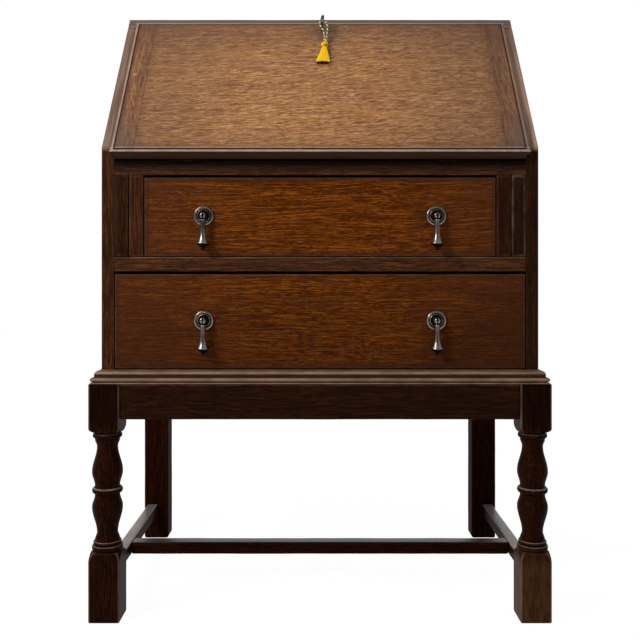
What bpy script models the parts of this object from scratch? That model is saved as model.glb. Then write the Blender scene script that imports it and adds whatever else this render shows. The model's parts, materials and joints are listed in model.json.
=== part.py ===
"""Oak writing bureau on a stand with turned front legs.

Metres. X runs to the right, Y to the back and Z up. The origin is on the floor, under the
middle of the bureau's box. The fall front, its lock, key and tassel are modelled in the fall's
own frame: X along the hinge, then up the slope, then out of the slope.
"""

import math

import bmesh
import bpy
from mathutils import Vector

# Clearances
FIT_GAP = 0.0003
RUNNING_GAP = 0.0008

# Stand
STAND_STEP = 0.0175
STAND_DEPTH = 0.470
STAND_TOP = 0.387
LEG_SIZE = 0.0505
LEG_BLOCK_HEIGHT = 0.080
FOOT_HEIGHT = 0.112
FOOT_SHOULDER = 0.030
BLOCK_SHOULDER = 0.018
FOOT_CHAMFER = 0.003
BULB_RADIUS = 0.0248
WAIST_RADIUS = 0.0202
NECK_RADIUS = 0.0169
BEAD_RADIUS = 0.0238
FOOT_BEAD_RADIUS = 0.0250
ANKLE_BEAD_RADIUS = 0.0228
BACK_LEG_SIZE = 0.0505
RAIL_SETBACK = 0.002
STAND_RAIL_THICKNESS = 0.024
STAND_RAIL_HEIGHT = 0.057
STRETCHER_HEIGHT = 0.022
STRETCHER_WIDTH = 0.0218
STRETCHER_INSET = 0.0078
STRETCHER_TOP = 0.073
CROSS_STRETCHER_WIDTH = 0.026
CROSS_STRETCHER_SETBACK = 0.1756

# Case
CASE_WIDTH = 0.716
CASE_BACK_INSET = 0.0065
SIDE_THICKNESS = 0.020
TOP_THICKNESS = 0.020
BACK_THICKNESS = 0.008
BACK_INSET = 0.002
FLOOR_THICKNESS = 0.0224
LOWER_OPENING = 0.1603
DIVIDER_THICKNESS = 0.024
DIVIDER_DEPTH = 0.070
DUST_BOARD_THICKNESS = 0.010
UPPER_OPENING = 0.1345
LOPER_SLOT = 0.0245
PARTITION_THICKNESS = 0.024
DESK_RISE = 0.292
MOULDING_HEIGHT = 0.0217
MOULDING_SETBACK = 0.0011
MOULDING_TORUS = 0.0073
MOULDING_STEP = 0.0104

# Fall front: the bed is as thick as the fall, so that the fall opens level on the lopers
FALL_SLOPE = math.radians(54)
FALL_THICKNESS = 0.0235
FALL_LIP_THICKNESS = 0.011
FALL_SIDE_LAP = 0.004
FALL_TOP_LAP = 0.0045
FALL_EDGE_RADIUS = 0.0035
FALL_BORDER_WIDTH = 0.006
FALL_BORDER_STEP = 0.001
FALL_HINGE_GAP = 0.0006
FALL_LIP_GAP = 0.0004
FALL_SIDE_GAP = 0.001
CLEAT_WIDTH = 0.040

# Hinges, lock and key
HINGE_FROM_SIDE = 0.118
HINGE_LENGTH = 0.052
HINGE_LEAF = 0.024
HINGE_LEAF_THICKNESS = 0.0013
KNUCKLE_RADIUS = 0.0026
KNUCKLE_LENGTH = 0.017
HINGE_PIN_RADIUS = 0.0012
LOCK_OFFSET = 0.004
LOCK_WIDTH = 0.056
LOCK_HEIGHT = 0.035
LOCK_DEPTH = 0.0105
LOCK_WALL = 0.0012
BOLT_WIDTH = 0.016
BOLT_THICKNESS = 0.0032
BOLT_LENGTH = 0.025
BOLT_THROW = 0.012
KEY_BELOW_EDGE = 0.0216
KEY_SHANK_RADIUS = 0.0024
KEY_COLLAR_RADIUS = 0.0036
KEY_COLLAR_LENGTH = 0.002
KEY_BIT_LENGTH = 0.007
KEY_BIT_WIDTH = 0.0028
KEY_BIT_THICKNESS = 0.0028
KEY_BOW_RADIUS = 0.0065
KEY_BOW_WIRE = 0.0018
KEY_BOW_HEIGHT = 0.021

# Tassel
CORD_RADIUS = 0.0011
CORD_LOOP_HALF_WIDTH = 0.0046
CORD_LOOP_LENGTH = 0.040
TASSEL_LEAN = 0.0045
TASSEL_HEAD_RADIUS = 0.0062
TASSEL_HEAD_LENGTH = 0.0125
TASSEL_NECK_RADIUS = 0.0042
TASSEL_SKIRT_LENGTH = 0.042
TASSEL_SKIRT_HALF_WIDTH = 0.0138
TASSEL_SKIRT_HALF_THICKNESS = 0.0062

# Drawers, lopers and pigeonholes
DRAWER_SIDE_GAP = 0.0012
DRAWER_TOP_GAP = 0.002
DRAWER_FRONT_THICKNESS = 0.020
DRAWER_SIDE_THICKNESS = 0.010
DRAWER_BOTTOM_THICKNESS = 0.006
DRAWER_BOTTOM_RAISE = 0.006
DRAWER_SIDE_DROP = 0.022
DRAWER_BACK_DROP = 0.008
DRAWER_BACK_CLEARANCE = 0.012
LOPER_LENGTH = 0.380
LOPER_PROUD = 0.001
SHELF_RISE = 0.130
SHELF_DEPTH = 0.190
SHELF_THICKNESS = 0.009
DIVIDER_COUNT = 3

# Handles
HANDLE_FROM_SIDE = 0.1475
PLATE_RADIUS = 0.01635
PLATE_THICKNESS = 0.0012
PLATE_RIM_WIDTH = 0.004
PLATE_RIM_HEIGHT = 0.0022
POST_RADIUS = 0.0052
POST_END = 0.0170
POST_DOME = 0.0022
SHANK_RADIUS = 0.0024
SHANK_PAST_FRONT = 0.004
PIVOT_STANDOFF = 0.0115
EYE_RADIUS = 0.0033
EYE_THICKNESS = 0.003
HANDLE_PIN_RADIUS = 0.0011
DROP_NECK_RADIUS = 0.0034
DROP_COLLAR_RADIUS = 0.0042
DROP_BELL_RADIUS = 0.0088
DROP_BELL_END = 0.0445
DROP_TIP_RADIUS = 0.0031
DROP_LENGTH = 0.057

# Finishes: colour, roughness, metallic
CASE_OAK = ((0.075, 0.032, 0.016), 0.42, 0.0)
FALL_OAK = ((0.170, 0.075, 0.028), 0.40, 0.0)
DRAWER_OAK = ((0.110, 0.042, 0.017), 0.40, 0.0)
INNER_OAK = ((0.300, 0.190, 0.100), 0.60, 0.0)
ANTIQUE_BRASS = ((0.120, 0.095, 0.080), 0.35, 1.0)
YELLOW_BRASS = ((0.500, 0.360, 0.160), 0.38, 1.0)
STEEL = ((0.300, 0.300, 0.300), 0.40, 1.0)
GOLD_SILK = ((0.800, 0.440, 0.020), 0.60, 0.0)

# Places that follow from the driving dimensions
STAND_WIDTH = CASE_WIDTH + 2 * STAND_STEP
HANDLE_REACH = PIVOT_STANDOFF + DROP_BELL_RADIUS
FRONT_REACH = max(HANDLE_REACH - STAND_STEP, 0)
LEG_FRONT = -(STAND_DEPTH - FRONT_REACH) / 2
LEG_BACK = LEG_FRONT + STAND_DEPTH
CASE_FRONT = LEG_FRONT + STAND_STEP
CASE_BACK = LEG_BACK - CASE_BACK_INSET
CASE_HALF = CASE_WIDTH / 2
INNER_HALF = CASE_HALF - SIDE_THICKNESS
BOARD_BACK = CASE_BACK - BACK_INSET - BACK_THICKNESS - FIT_GAP
CASE_BASE = STAND_TOP + FIT_GAP
FLOOR_TOP = CASE_BASE + FLOOR_THICKNESS
DIVIDER_BOTTOM = FLOOR_TOP + LOWER_OPENING
DIVIDER_TOP = DIVIDER_BOTTOM + DIVIDER_THICKNESS
BED_BOTTOM = DIVIDER_TOP + UPPER_OPENING
BED_TOP = BED_BOTTOM + FALL_THICKNESS
HEIGHT = BED_TOP + DESK_RISE
TOP_UNDERSIDE = HEIGHT - TOP_THICKNESS
FALL_BODY = FALL_THICKNESS - FALL_LIP_THICKNESS
SLOPE_START = BED_TOP + FALL_BODY / math.cos(FALL_SLOPE)
PARTITION_OUTER = INNER_HALF - LOPER_SLOT
PARTITION_INNER = PARTITION_OUTER - PARTITION_THICKNESS
FALL_BODY_HALF = INNER_HALF - FALL_SIDE_GAP
FALL_LIP_HALF = INNER_HALF + FALL_SIDE_LAP
UNDERSIDE_RISE = TOP_UNDERSIDE - BED_TOP - FALL_BODY * math.cos(FALL_SLOPE)
FALL_TOP_EDGE = UNDERSIDE_RISE / math.sin(FALL_SLOPE)
FALL_BODY_END = FALL_TOP_EDGE - FALL_SIDE_GAP
FALL_LIP_END = FALL_TOP_EDGE + FALL_TOP_LAP
KEY_RISE = FALL_LIP_END - KEY_BELOW_EDGE
KEY_TIP = FIT_GAP + LOCK_WALL + BOLT_THICKNESS + RUNNING_GAP + 2 * FIT_GAP

# Facets
LEG_SIDES = 24
PLATE_SIDES = 20
DROP_SIDES = 16
SMALL_SIDES = 12
SMOOTH_ANGLE = math.radians(40)


def clear_scene():
    """Start from an empty scene."""
    for old in list(bpy.data.objects):
        bpy.data.objects.remove(old, do_unlink=True)


def make_material(name, colour, roughness, metallic):
    """One Principled material for one piece."""
    material = bpy.data.materials.new(name)
    material.use_nodes = True
    shader = material.node_tree.nodes["Principled BSDF"]
    shader.inputs["Base Color"].default_value = (*colour, 1)
    shader.inputs["Roughness"].default_value = roughness
    shader.inputs["Metallic"].default_value = metallic
    return material


def axis_empty(name, location, rotation=(0, 0, 0), parent=None):
    """An empty on a joint's axis, which carries the pieces that move about it."""
    empty = bpy.data.objects.new(name, None)
    bpy.context.scene.collection.objects.link(empty)
    empty.location = location
    empty.rotation_euler = rotation
    empty.parent = parent
    return empty


def rings_mesh(name, rings, closed=False):
    """A closed skin over rings of equally many points: capped at both ends, or joined end to end."""
    builder = bmesh.new()
    loops = [[builder.verts.new(point) for point in ring] for ring in rings]
    pairs = list(zip(loops, loops[1:]))
    if closed:
        pairs.append((loops[-1], loops[0]))
    else:
        builder.faces.new(loops[0])
        builder.faces.new(loops[-1])
    for lower, upper in pairs:
        for index in range(len(lower)):
            after = (index + 1) % len(lower)
            builder.faces.new((lower[index], lower[after], upper[after], upper[index]))
    bmesh.ops.recalc_face_normals(builder, faces=builder.faces)
    mesh = bpy.data.meshes.new(name)
    builder.to_mesh(mesh)
    builder.free()
    mesh.shade_smooth()
    mesh.set_sharp_from_angle(angle=SMOOTH_ANGLE)
    return mesh


def circle(radius, height, sides, stretch=1.0):
    """Points of a ring round Z, stretched along Y."""
    turns = [2 * math.pi * (step + 0.5) / sides for step in range(sides)]
    return [
        Vector((radius * math.cos(turn), stretch * radius * math.sin(turn), height))
        for turn in turns
    ]


def turned_mesh(name, profile, sides):
    """A solid turned about Z from (radius, height) pairs that run upwards."""
    return rings_mesh(name, [circle(radius, height, sides) for radius, height in profile])


def box_mesh(name, low, high):
    """A box between two corners."""
    near = [(low[0], low[1]), (high[0], low[1]), (high[0], high[1]), (low[0], high[1])]
    return rings_mesh(name, [[Vector((x, y, z)) for x, y in near] for z in (low[2], high[2])])


def cylinder_mesh(name, radius, low, high):
    """A round bar along X, centred on the axis of its parent."""
    bar = [circle(radius, end, SMALL_SIDES) for end in (low, high)]
    return rings_mesh(name, [[Vector((p.z, p.x, p.y)) for p in ring] for ring in bar])


def piece(name, mesh, finish, parent=None, location=(0, 0, 0), rotation=(0, 0, 0)):
    """One named piece of the bureau, with its own material."""
    made = bpy.data.objects.new(name, mesh)
    bpy.context.scene.collection.objects.link(made)
    made.parent = parent
    made.location = location
    made.rotation_euler = rotation
    mesh.materials.append(make_material(name, *finish))
    return made


def board(name, low, high, finish, parent=None):
    """A rectangular board between two corners, with its origin at its middle."""
    middle = (Vector(low) + Vector(high)) / 2
    mesh = box_mesh(name, Vector(low) - middle, Vector(high) - middle)
    return piece(name, mesh, finish, parent, middle)


def helper(name, mesh, parent=None, location=(0, 0, 0), rotation=(0, 0, 0)):
    """A hidden shape that a Boolean uses."""
    shape = bpy.data.objects.new(name, mesh)
    bpy.context.scene.collection.objects.link(shape)
    shape.parent = parent
    shape.location = location
    shape.rotation_euler = rotation
    shape.hide_render = True
    shape.display_type = "WIRE"
    return shape


def combine(target, operation, shape):
    """Cut a helper from a piece, join it on, or keep only what lies inside it."""
    modifier = target.modifiers.new(shape.name, "BOOLEAN")
    modifier.operation = operation
    modifier.solver = "EXACT"
    modifier.object = shape


def cut_box(target, name, low, high, parent=None):
    """Cut a box from a piece."""
    combine(target, "DIFFERENCE", helper(name, box_mesh(name, low, high), parent))


def join_box(target, name, low, high, parent=None):
    """Join a box to a piece."""
    combine(target, "UNION", helper(name, box_mesh(name, low, high), parent))


def bead(middle, half, base, peak, steps):
    """A half-round bead of a turning, as (radius, height) pairs going up."""
    turns = [math.pi * step / steps for step in range(steps + 1)]
    return [(base + (peak - base) * math.sin(turn), middle - half * math.cos(turn)) for turn in turns]


def ease(start, end, steps):
    """A smooth S-curve between two (radius, height) points, without the first one."""
    points = []
    for step in range(1, steps + 1):
        share = step / steps
        blend = (1 - math.cos(math.pi * share)) / 2
        radius = start[0] + (end[0] - start[0]) * blend
        points.append((radius, start[1] + (end[1] - start[1]) * share))
    return points


def shoulder(inner, outer, edge, depth, steps):
    """The rounded corner that the lathe leaves where a square block starts, going away from the turning."""
    turns = [math.pi / 2 * step / steps for step in range(steps + 1)]
    return [
        (inner + (outer - inner) * math.sin(turn), edge + depth * (1 - math.cos(turn)))
        for turn in turns
    ]


def leg_turning():
    """What the lathe leaves of a front leg, from under the foot to over the block."""
    block = STAND_TOP - LEG_BLOCK_HEIGHT
    span = block - FOOT_HEIGHT
    past_corner = 0.75 * LEG_SIZE
    margin = FOOT_SHOULDER

    def at(share):
        return FOOT_HEIGHT + share * span

    lower_waist = (WAIST_RADIUS, at(0.472))
    upper_waist = (WAIST_RADIUS, at(0.546))
    neck = (NECK_RADIUS, at(0.877))
    ankle = (NECK_RADIUS, at(0.156))
    lower_bulb = (BULB_RADIUS, at(0.369))
    upper_bulb = (BULB_RADIUS, at(0.664))
    profile = [(past_corner, -margin)]
    profile += shoulder(ANKLE_BEAD_RADIUS, past_corner, FOOT_HEIGHT, -FOOT_SHOULDER, 6)[::-1]
    profile += bead(at(0.032), 0.020 * span, ANKLE_BEAD_RADIUS, FOOT_BEAD_RADIUS, 4)
    profile += bead(at(0.072), 0.016 * span, WAIST_RADIUS, ANKLE_BEAD_RADIUS, 4)
    profile += ease((WAIST_RADIUS, at(0.092)), ankle, 4)
    profile += ease(ankle, lower_bulb, 6)
    profile += ease(lower_bulb, lower_waist, 5)
    profile += bead(at(0.509), 0.026 * span, WAIST_RADIUS, BULB_RADIUS, 6)
    profile += [upper_waist]
    profile += ease(upper_waist, upper_bulb, 5)
    profile += ease(upper_bulb, neck, 6)
    profile += ease(neck, (WAIST_RADIUS, at(0.940)), 4)
    profile += bead(at(0.970), 0.022 * span, WAIST_RADIUS, BEAD_RADIUS, 5)
    profile += shoulder(WAIST_RADIUS, past_corner, block, BLOCK_SHOULDER, 6)
    profile += [(past_corner, STAND_TOP + margin)]
    return profile


def square_leg(name, size, middle, finish):
    """A square leg from the floor to the top of the stand, with its foot chamfered."""
    half = size / 2
    levels = [(half - FOOT_CHAMFER, 0), (half, FOOT_CHAMFER), (half, STAND_TOP)]
    corners = [(-1, -1), (1, -1), (1, 1), (-1, 1)]
    rings = [[Vector((reach * x, reach * y, z)) for x, y in corners] for reach, z in levels]
    return piece(name, rings_mesh(name, rings), finish, None, (*middle, 0))


def make_legs():
    """Two turned front legs and two plain back legs."""
    front_x = (STAND_WIDTH - LEG_SIZE) / 2
    back_x = (STAND_WIDTH - BACK_LEG_SIZE) / 2
    for side, sign in (("left", -1), ("right", 1)):
        front = (sign * front_x, LEG_FRONT + LEG_SIZE / 2)
        leg = square_leg(f"front_leg_{side}", LEG_SIZE, front, CASE_OAK)
        turning = turned_mesh(f"turning_{side}", leg_turning(), LEG_SIDES)
        combine(leg, "INTERSECT", helper(f"turning_{side}", turning, None, (*front, 0)))
        back = (sign * back_x, LEG_BACK - BACK_LEG_SIZE / 2)
        square_leg(f"back_leg_{side}", BACK_LEG_SIZE, back, CASE_OAK)


def make_stand_rails():
    """The apron, end rails, back rail and stretchers between the legs."""
    front_gap = STAND_WIDTH / 2 - LEG_SIZE - FIT_GAP
    back_gap = STAND_WIDTH / 2 - BACK_LEG_SIZE - FIT_GAP
    rail_low = STAND_TOP - STAND_RAIL_HEIGHT
    apron_front = LEG_FRONT + RAIL_SETBACK
    rail_back = LEG_BACK - RAIL_SETBACK
    board(
        "front_apron",
        (-front_gap, apron_front, rail_low),
        (front_gap, apron_front + STAND_RAIL_THICKNESS, STAND_TOP),
        CASE_OAK,
    )
    board(
        "back_rail",
        (-back_gap, rail_back - STAND_RAIL_THICKNESS, rail_low),
        (back_gap, rail_back, STAND_TOP),
        CASE_OAK,
    )
    end_front = LEG_FRONT + LEG_SIZE + FIT_GAP
    end_back = LEG_BACK - BACK_LEG_SIZE - FIT_GAP
    rail_outer = STAND_WIDTH / 2 - RAIL_SETBACK
    stretcher_outer = STAND_WIDTH / 2 - STRETCHER_INSET
    stretcher_inner = stretcher_outer - STRETCHER_WIDTH
    stretcher_low = STRETCHER_TOP - STRETCHER_HEIGHT
    for side, sign in (("left", -1), ("right", 1)):
        ends = sorted((sign * rail_outer, sign * (rail_outer - STAND_RAIL_THICKNESS)))
        board(
            f"end_rail_{side}",
            (ends[0], end_front, rail_low),
            (ends[1], end_back, STAND_TOP),
            CASE_OAK,
        )
        ends = sorted((sign * stretcher_inner, sign * stretcher_outer))
        board(
            f"end_stretcher_{side}",
            (ends[0], end_front, stretcher_low),
            (ends[1], end_back, STRETCHER_TOP),
            CASE_OAK,
        )
    cross_front = LEG_FRONT + CROSS_STRETCHER_SETBACK
    cross_half = stretcher_inner - FIT_GAP
    board(
        "cross_stretcher",
        (-cross_half, cross_front, stretcher_low),
        (cross_half, cross_front + CROSS_STRETCHER_WIDTH, STRETCHER_TOP),
        CASE_OAK,
    )


def slope_y(height):
    """How far back the slanted edge of the case is at a height."""
    return CASE_FRONT + (height - SLOPE_START) / math.tan(FALL_SLOPE)


def prism(name, outline, low_x, high_x, finish):
    """A board whose outline in Y and Z is carried along X."""
    rings = [[Vector((x, y, z)) for y, z in outline] for x in (low_x, high_x)]
    return piece(name, rings_mesh(name, rings), finish)


def make_case():
    """The boards of the case."""
    side_top = TOP_UNDERSIDE - FIT_GAP
    side_outline = [
        (CASE_FRONT, CASE_BASE),
        (CASE_BACK, CASE_BASE),
        (CASE_BACK, side_top),
        (slope_y(side_top), side_top),
        (CASE_FRONT, SLOPE_START),
    ]
    prism("side_left", side_outline, -CASE_HALF, -INNER_HALF, CASE_OAK)
    prism("side_right", side_outline, INNER_HALF, CASE_HALF, CASE_OAK)
    top_outline = [
        (slope_y(TOP_UNDERSIDE), TOP_UNDERSIDE),
        (CASE_BACK, TOP_UNDERSIDE),
        (CASE_BACK, HEIGHT),
        (slope_y(HEIGHT), HEIGHT),
    ]
    top = prism("top_board", top_outline, -CASE_HALF, CASE_HALF, CASE_OAK)
    width = INNER_HALF - FIT_GAP
    back_face = CASE_BACK - BACK_INSET
    board(
        "back_panel",
        (-width, back_face - BACK_THICKNESS, CASE_BASE),
        (width, back_face, side_top),
        INNER_OAK,
    )
    board(
        "case_floor",
        (-width, CASE_FRONT, CASE_BASE),
        (width, BOARD_BACK, FLOOR_TOP),
        CASE_OAK,
    )
    rail_back = CASE_FRONT + DIVIDER_DEPTH
    board(
        "drawer_rail",
        (-width, CASE_FRONT, DIVIDER_BOTTOM),
        (width, rail_back, DIVIDER_TOP),
        CASE_OAK,
    )
    board(
        "dust_board",
        (-width, rail_back + FIT_GAP, DIVIDER_TOP - DUST_BOARD_THICKNESS),
        (width, BOARD_BACK, DIVIDER_TOP),
        INNER_OAK,
    )
    for side, sign in (("left", -1), ("right", 1)):
        ends = sorted((sign * PARTITION_INNER, sign * PARTITION_OUTER))
        board(
            f"partition_{side}",
            (ends[0], CASE_FRONT, DIVIDER_TOP + FIT_GAP),
            (ends[1], BOARD_BACK, BED_BOTTOM - FIT_GAP),
            CASE_OAK,
        )
    bed = board(
        "writing_bed",
        (-width, CASE_FRONT + FALL_HINGE_GAP, BED_BOTTOM),
        (width, BOARD_BACK, BED_TOP),
        FALL_OAK,
    )
    return top, bed


def moulding_profile():
    """(projection, height) of the base moulding, from its lower fillet up to the case."""
    reach = STAND_STEP - MOULDING_SETBACK
    torus = MOULDING_TORUS / 2
    step = MOULDING_STEP
    cove_low = 0.56 * MOULDING_HEIGHT
    cove_rise = 0.38 * MOULDING_HEIGHT
    profile = [(reach - 0.6 * torus, 0)]
    for turn in (-60, -30, 0, 30, 60):
        angle = math.radians(turn)
        profile.append((reach - 0.9 * torus * (1 - math.cos(angle)), torus * (1 + math.sin(angle))))
    profile += [(step, 1.05 * MOULDING_TORUS), (step, cove_low)]
    for turn in (25, 50, 75, 90):
        angle = math.radians(turn)
        out = step - 0.6 * step * (1 - math.cos(angle))
        profile.append((out, cove_low + cove_rise * math.sin(angle)))
    profile += [(0.25 * step, cove_low + cove_rise), (0.25 * step, MOULDING_HEIGHT)]
    return profile + [(FIT_GAP, MOULDING_HEIGHT), (FIT_GAP, 0)]


def make_mouldings():
    """The base moulding along the front and both ends, mitred at the front corners."""
    profile = [(out, CASE_BASE + height) for out, height in moulding_profile()]
    mitre = FIT_GAP / 2
    front = [
        [Vector((sign * (CASE_HALF + out - mitre), CASE_FRONT - out, z)) for out, z in profile]
        for sign in (-1, 1)
    ]
    piece("moulding_front", rings_mesh("moulding_front", front), CASE_OAK)
    for side, sign in (("left", -1), ("right", 1)):
        name = f"moulding_{side}"
        ends = [
            [Vector((sign * (CASE_HALF + out), CASE_FRONT - out + mitre, z)) for out, z in profile],
            [Vector((sign * (CASE_HALF + out), CASE_BACK, z)) for out, z in profile],
        ]
        piece(name, rings_mesh(name, ends), CASE_OAK)


def fall_outline():
    """The fall's cross-section: (up the slope, out of the slope), with rounded and stepped outer edges."""
    radius = FALL_EDGE_RADIUS
    border = FALL_THICKNESS - FALL_BORDER_STEP
    lip_seat = FALL_BODY + FALL_LIP_GAP
    low_step = FALL_HINGE_GAP + FALL_BORDER_WIDTH
    high_step = FALL_LIP_END - FALL_BORDER_WIDTH
    turns = [math.radians(turn) for turn in (0, 30, 60, 90)]
    rounding = [(radius * (1 - math.cos(turn)), border - radius * (1 - math.sin(turn))) for turn in turns]
    outline = [(FALL_HINGE_GAP, 0)]
    outline += [(FALL_HINGE_GAP + inset, out) for inset, out in rounding]
    outline += [(low_step, border), (low_step, FALL_THICKNESS)]
    outline += [(high_step, FALL_THICKNESS), (high_step, border)]
    outline += [(FALL_LIP_END - inset, out) for inset, out in reversed(rounding)]
    return outline + [(FALL_LIP_END, lip_seat), (FALL_BODY_END, lip_seat), (FALL_BODY_END, 0)]


def make_fall(hinge):
    """The centre panel and the two cleats, in the fall's own frame."""
    outline = fall_outline()
    panel_half = FALL_LIP_HALF - CLEAT_WIDTH

    def slab(name, low_x, high_x):
        rings = [[Vector((x, rise, out)) for rise, out in outline] for x in (low_x, high_x)]
        return piece(name, rings_mesh(name, rings), FALL_OAK, hinge)

    panel = slab("fall_panel", -panel_half, panel_half)
    for side, sign in (("left", -1), ("right", 1)):
        ends = sorted((sign * (panel_half + FIT_GAP), sign * FALL_LIP_HALF))
        cleat = slab(f"fall_cleat_{side}", *ends)
        ends = sorted((sign * FALL_BODY_HALF, sign * (FALL_LIP_HALF + FALL_SIDE_LAP)))
        cut_box(
            cleat,
            f"lap_{side}",
            (ends[0], -FALL_LIP_THICKNESS, -FALL_BODY),
            (ends[1], FALL_LIP_END + FALL_LIP_THICKNESS, FALL_BODY + FALL_LIP_GAP),
            hinge,
        )
        inner = FALL_LIP_HALF - FALL_BORDER_WIDTH
        ends = sorted((sign * inner, sign * (FALL_LIP_HALF + FALL_SIDE_LAP)))
        cut_box(
            cleat,
            f"border_{side}",
            (ends[0], -FALL_LIP_THICKNESS, FALL_THICKNESS - FALL_BORDER_STEP),
            (ends[1], FALL_LIP_END + FALL_LIP_THICKNESS, 2 * FALL_THICKNESS),
            hinge,
        )
    return panel


def make_hinges(hinge, panel, bed):
    """Two butt hinges, sunk into the bed and the fall, with their pins on the fall's axis."""
    sunk = HINGE_LEAF_THICKNESS + FIT_GAP
    floor = sunk + FIT_GAP
    half = HINGE_LENGTH / 2
    tab_half = KNUCKLE_LENGTH / 2
    room = KNUCKLE_RADIUS + FIT_GAP
    for side, sign in (("left", -1), ("right", 1)):
        x = sign * (INNER_HALF - HINGE_FROM_SIDE)
        on_bed = axis_empty(f"bed_hinge_axis_{side}", (x, CASE_FRONT, BED_TOP))
        on_fall = axis_empty(f"fall_hinge_axis_{side}", (x, 0, 0), (0, 0, 0), hinge)

        name = f"bed_leaf_{side}"
        leaf = piece(name, box_mesh(name, (-half, room + FIT_GAP, -sunk), (half, HINGE_LEAF, -FIT_GAP)),
                     YELLOW_BRASS, on_bed)
        join_box(leaf, f"{name}_tab", (-tab_half, 0, -sunk), (tab_half, HINGE_LEAF / 2, -FIT_GAP), on_bed)
        knuckle = cylinder_mesh(f"{name}_knuckle", KNUCKLE_RADIUS, -tab_half, tab_half)
        combine(leaf, "UNION", helper(f"{name}_knuckle", knuckle, on_bed))
        pin = cylinder_mesh(f"{name}_pin", HINGE_PIN_RADIUS, -half, half)
        combine(leaf, "UNION", helper(f"{name}_pin", pin, on_bed))

        name = f"fall_leaf_{side}"
        leaf = piece(name, box_mesh(name, (-half, room + FIT_GAP, FIT_GAP), (half, HINGE_LEAF, sunk)),
                     YELLOW_BRASS, on_fall)
        for end, low, high in (("a", -half, -tab_half - FIT_GAP), ("b", tab_half + FIT_GAP, half)):
            join_box(leaf, f"{name}_tab_{end}", (low, 0, FIT_GAP), (high, HINGE_LEAF / 2, sunk), on_fall)
            barrel = cylinder_mesh(f"{name}_barrel_{end}", KNUCKLE_RADIUS, low, high)
            combine(leaf, "UNION", helper(f"{name}_barrel_{end}", barrel, on_fall))
        bore = cylinder_mesh(f"{name}_bore", HINGE_PIN_RADIUS + FIT_GAP, -HINGE_LENGTH, HINGE_LENGTH)
        combine(leaf, "DIFFERENCE", helper(f"{name}_bore", bore, on_fall))

        wide = half + FIT_GAP
        reach = HINGE_LEAF + FIT_GAP
        cut_box(bed, f"bed_recess_{side}", (-wide, -room, -floor), (wide, reach, room), on_bed)
        cut_box(bed, f"bed_groove_{side}", (-wide, -room, -room), (wide, room, room), on_bed)
        cut_box(panel, f"fall_recess_{side}", (-wide, -room, -room), (wide, reach, floor), on_fall)
        cut_box(panel, f"fall_groove_{side}", (-wide, -room, -room), (wide, room, room), on_fall)


def make_lock(lock, panel, top):
    """The lock in the fall's upper edge: an open brass case, and the bolt that slides out of it."""
    high = FALL_BODY_END
    low = high - LOCK_HEIGHT
    half = LOCK_WIDTH / 2
    bolt_half = BOLT_WIDTH / 2
    floor = FIT_GAP + LOCK_WALL
    bolt_low = floor + FIT_GAP
    bolt_high = bolt_low + BOLT_THICKNESS
    case = piece("lock_case", box_mesh("lock_case", (-half, low, FIT_GAP), (half, high, LOCK_DEPTH)),
                 YELLOW_BRASS, lock)
    cut_box(
        case,
        "lock_hollow",
        (LOCK_WALL - half, low + LOCK_WALL, floor),
        (half - LOCK_WALL, high - LOCK_WALL, 2 * LOCK_DEPTH),
        lock,
    )
    cut_box(
        case,
        "bolt_slot",
        (-bolt_half - FIT_GAP, high - 2 * LOCK_WALL, floor),
        (bolt_half + FIT_GAP, high + LOCK_WALL, bolt_high + FIT_GAP),
        lock,
    )
    cut_box(
        panel,
        "lock_mortise",
        (-half - FIT_GAP, low - FIT_GAP, -LOCK_DEPTH),
        (half + FIT_GAP, high + LOCK_WALL, LOCK_DEPTH + FIT_GAP),
        lock,
    )
    slide = axis_empty("bolt_slide", (0, high - FIT_GAP, bolt_low), (0, 0, 0), lock)
    bolt_mesh = box_mesh("lock_bolt", (-bolt_half, -BOLT_LENGTH, 0), (bolt_half, 0, BOLT_THICKNESS))
    piece("lock_bolt", bolt_mesh, STEEL, slide)
    cut_box(
        top,
        "bolt_mortise",
        (-bolt_half - RUNNING_GAP, high - LOCK_WALL, floor - RUNNING_GAP),
        (bolt_half + RUNNING_GAP, high + BOLT_THROW + RUNNING_GAP, bolt_high + RUNNING_GAP),
        lock,
    )


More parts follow.
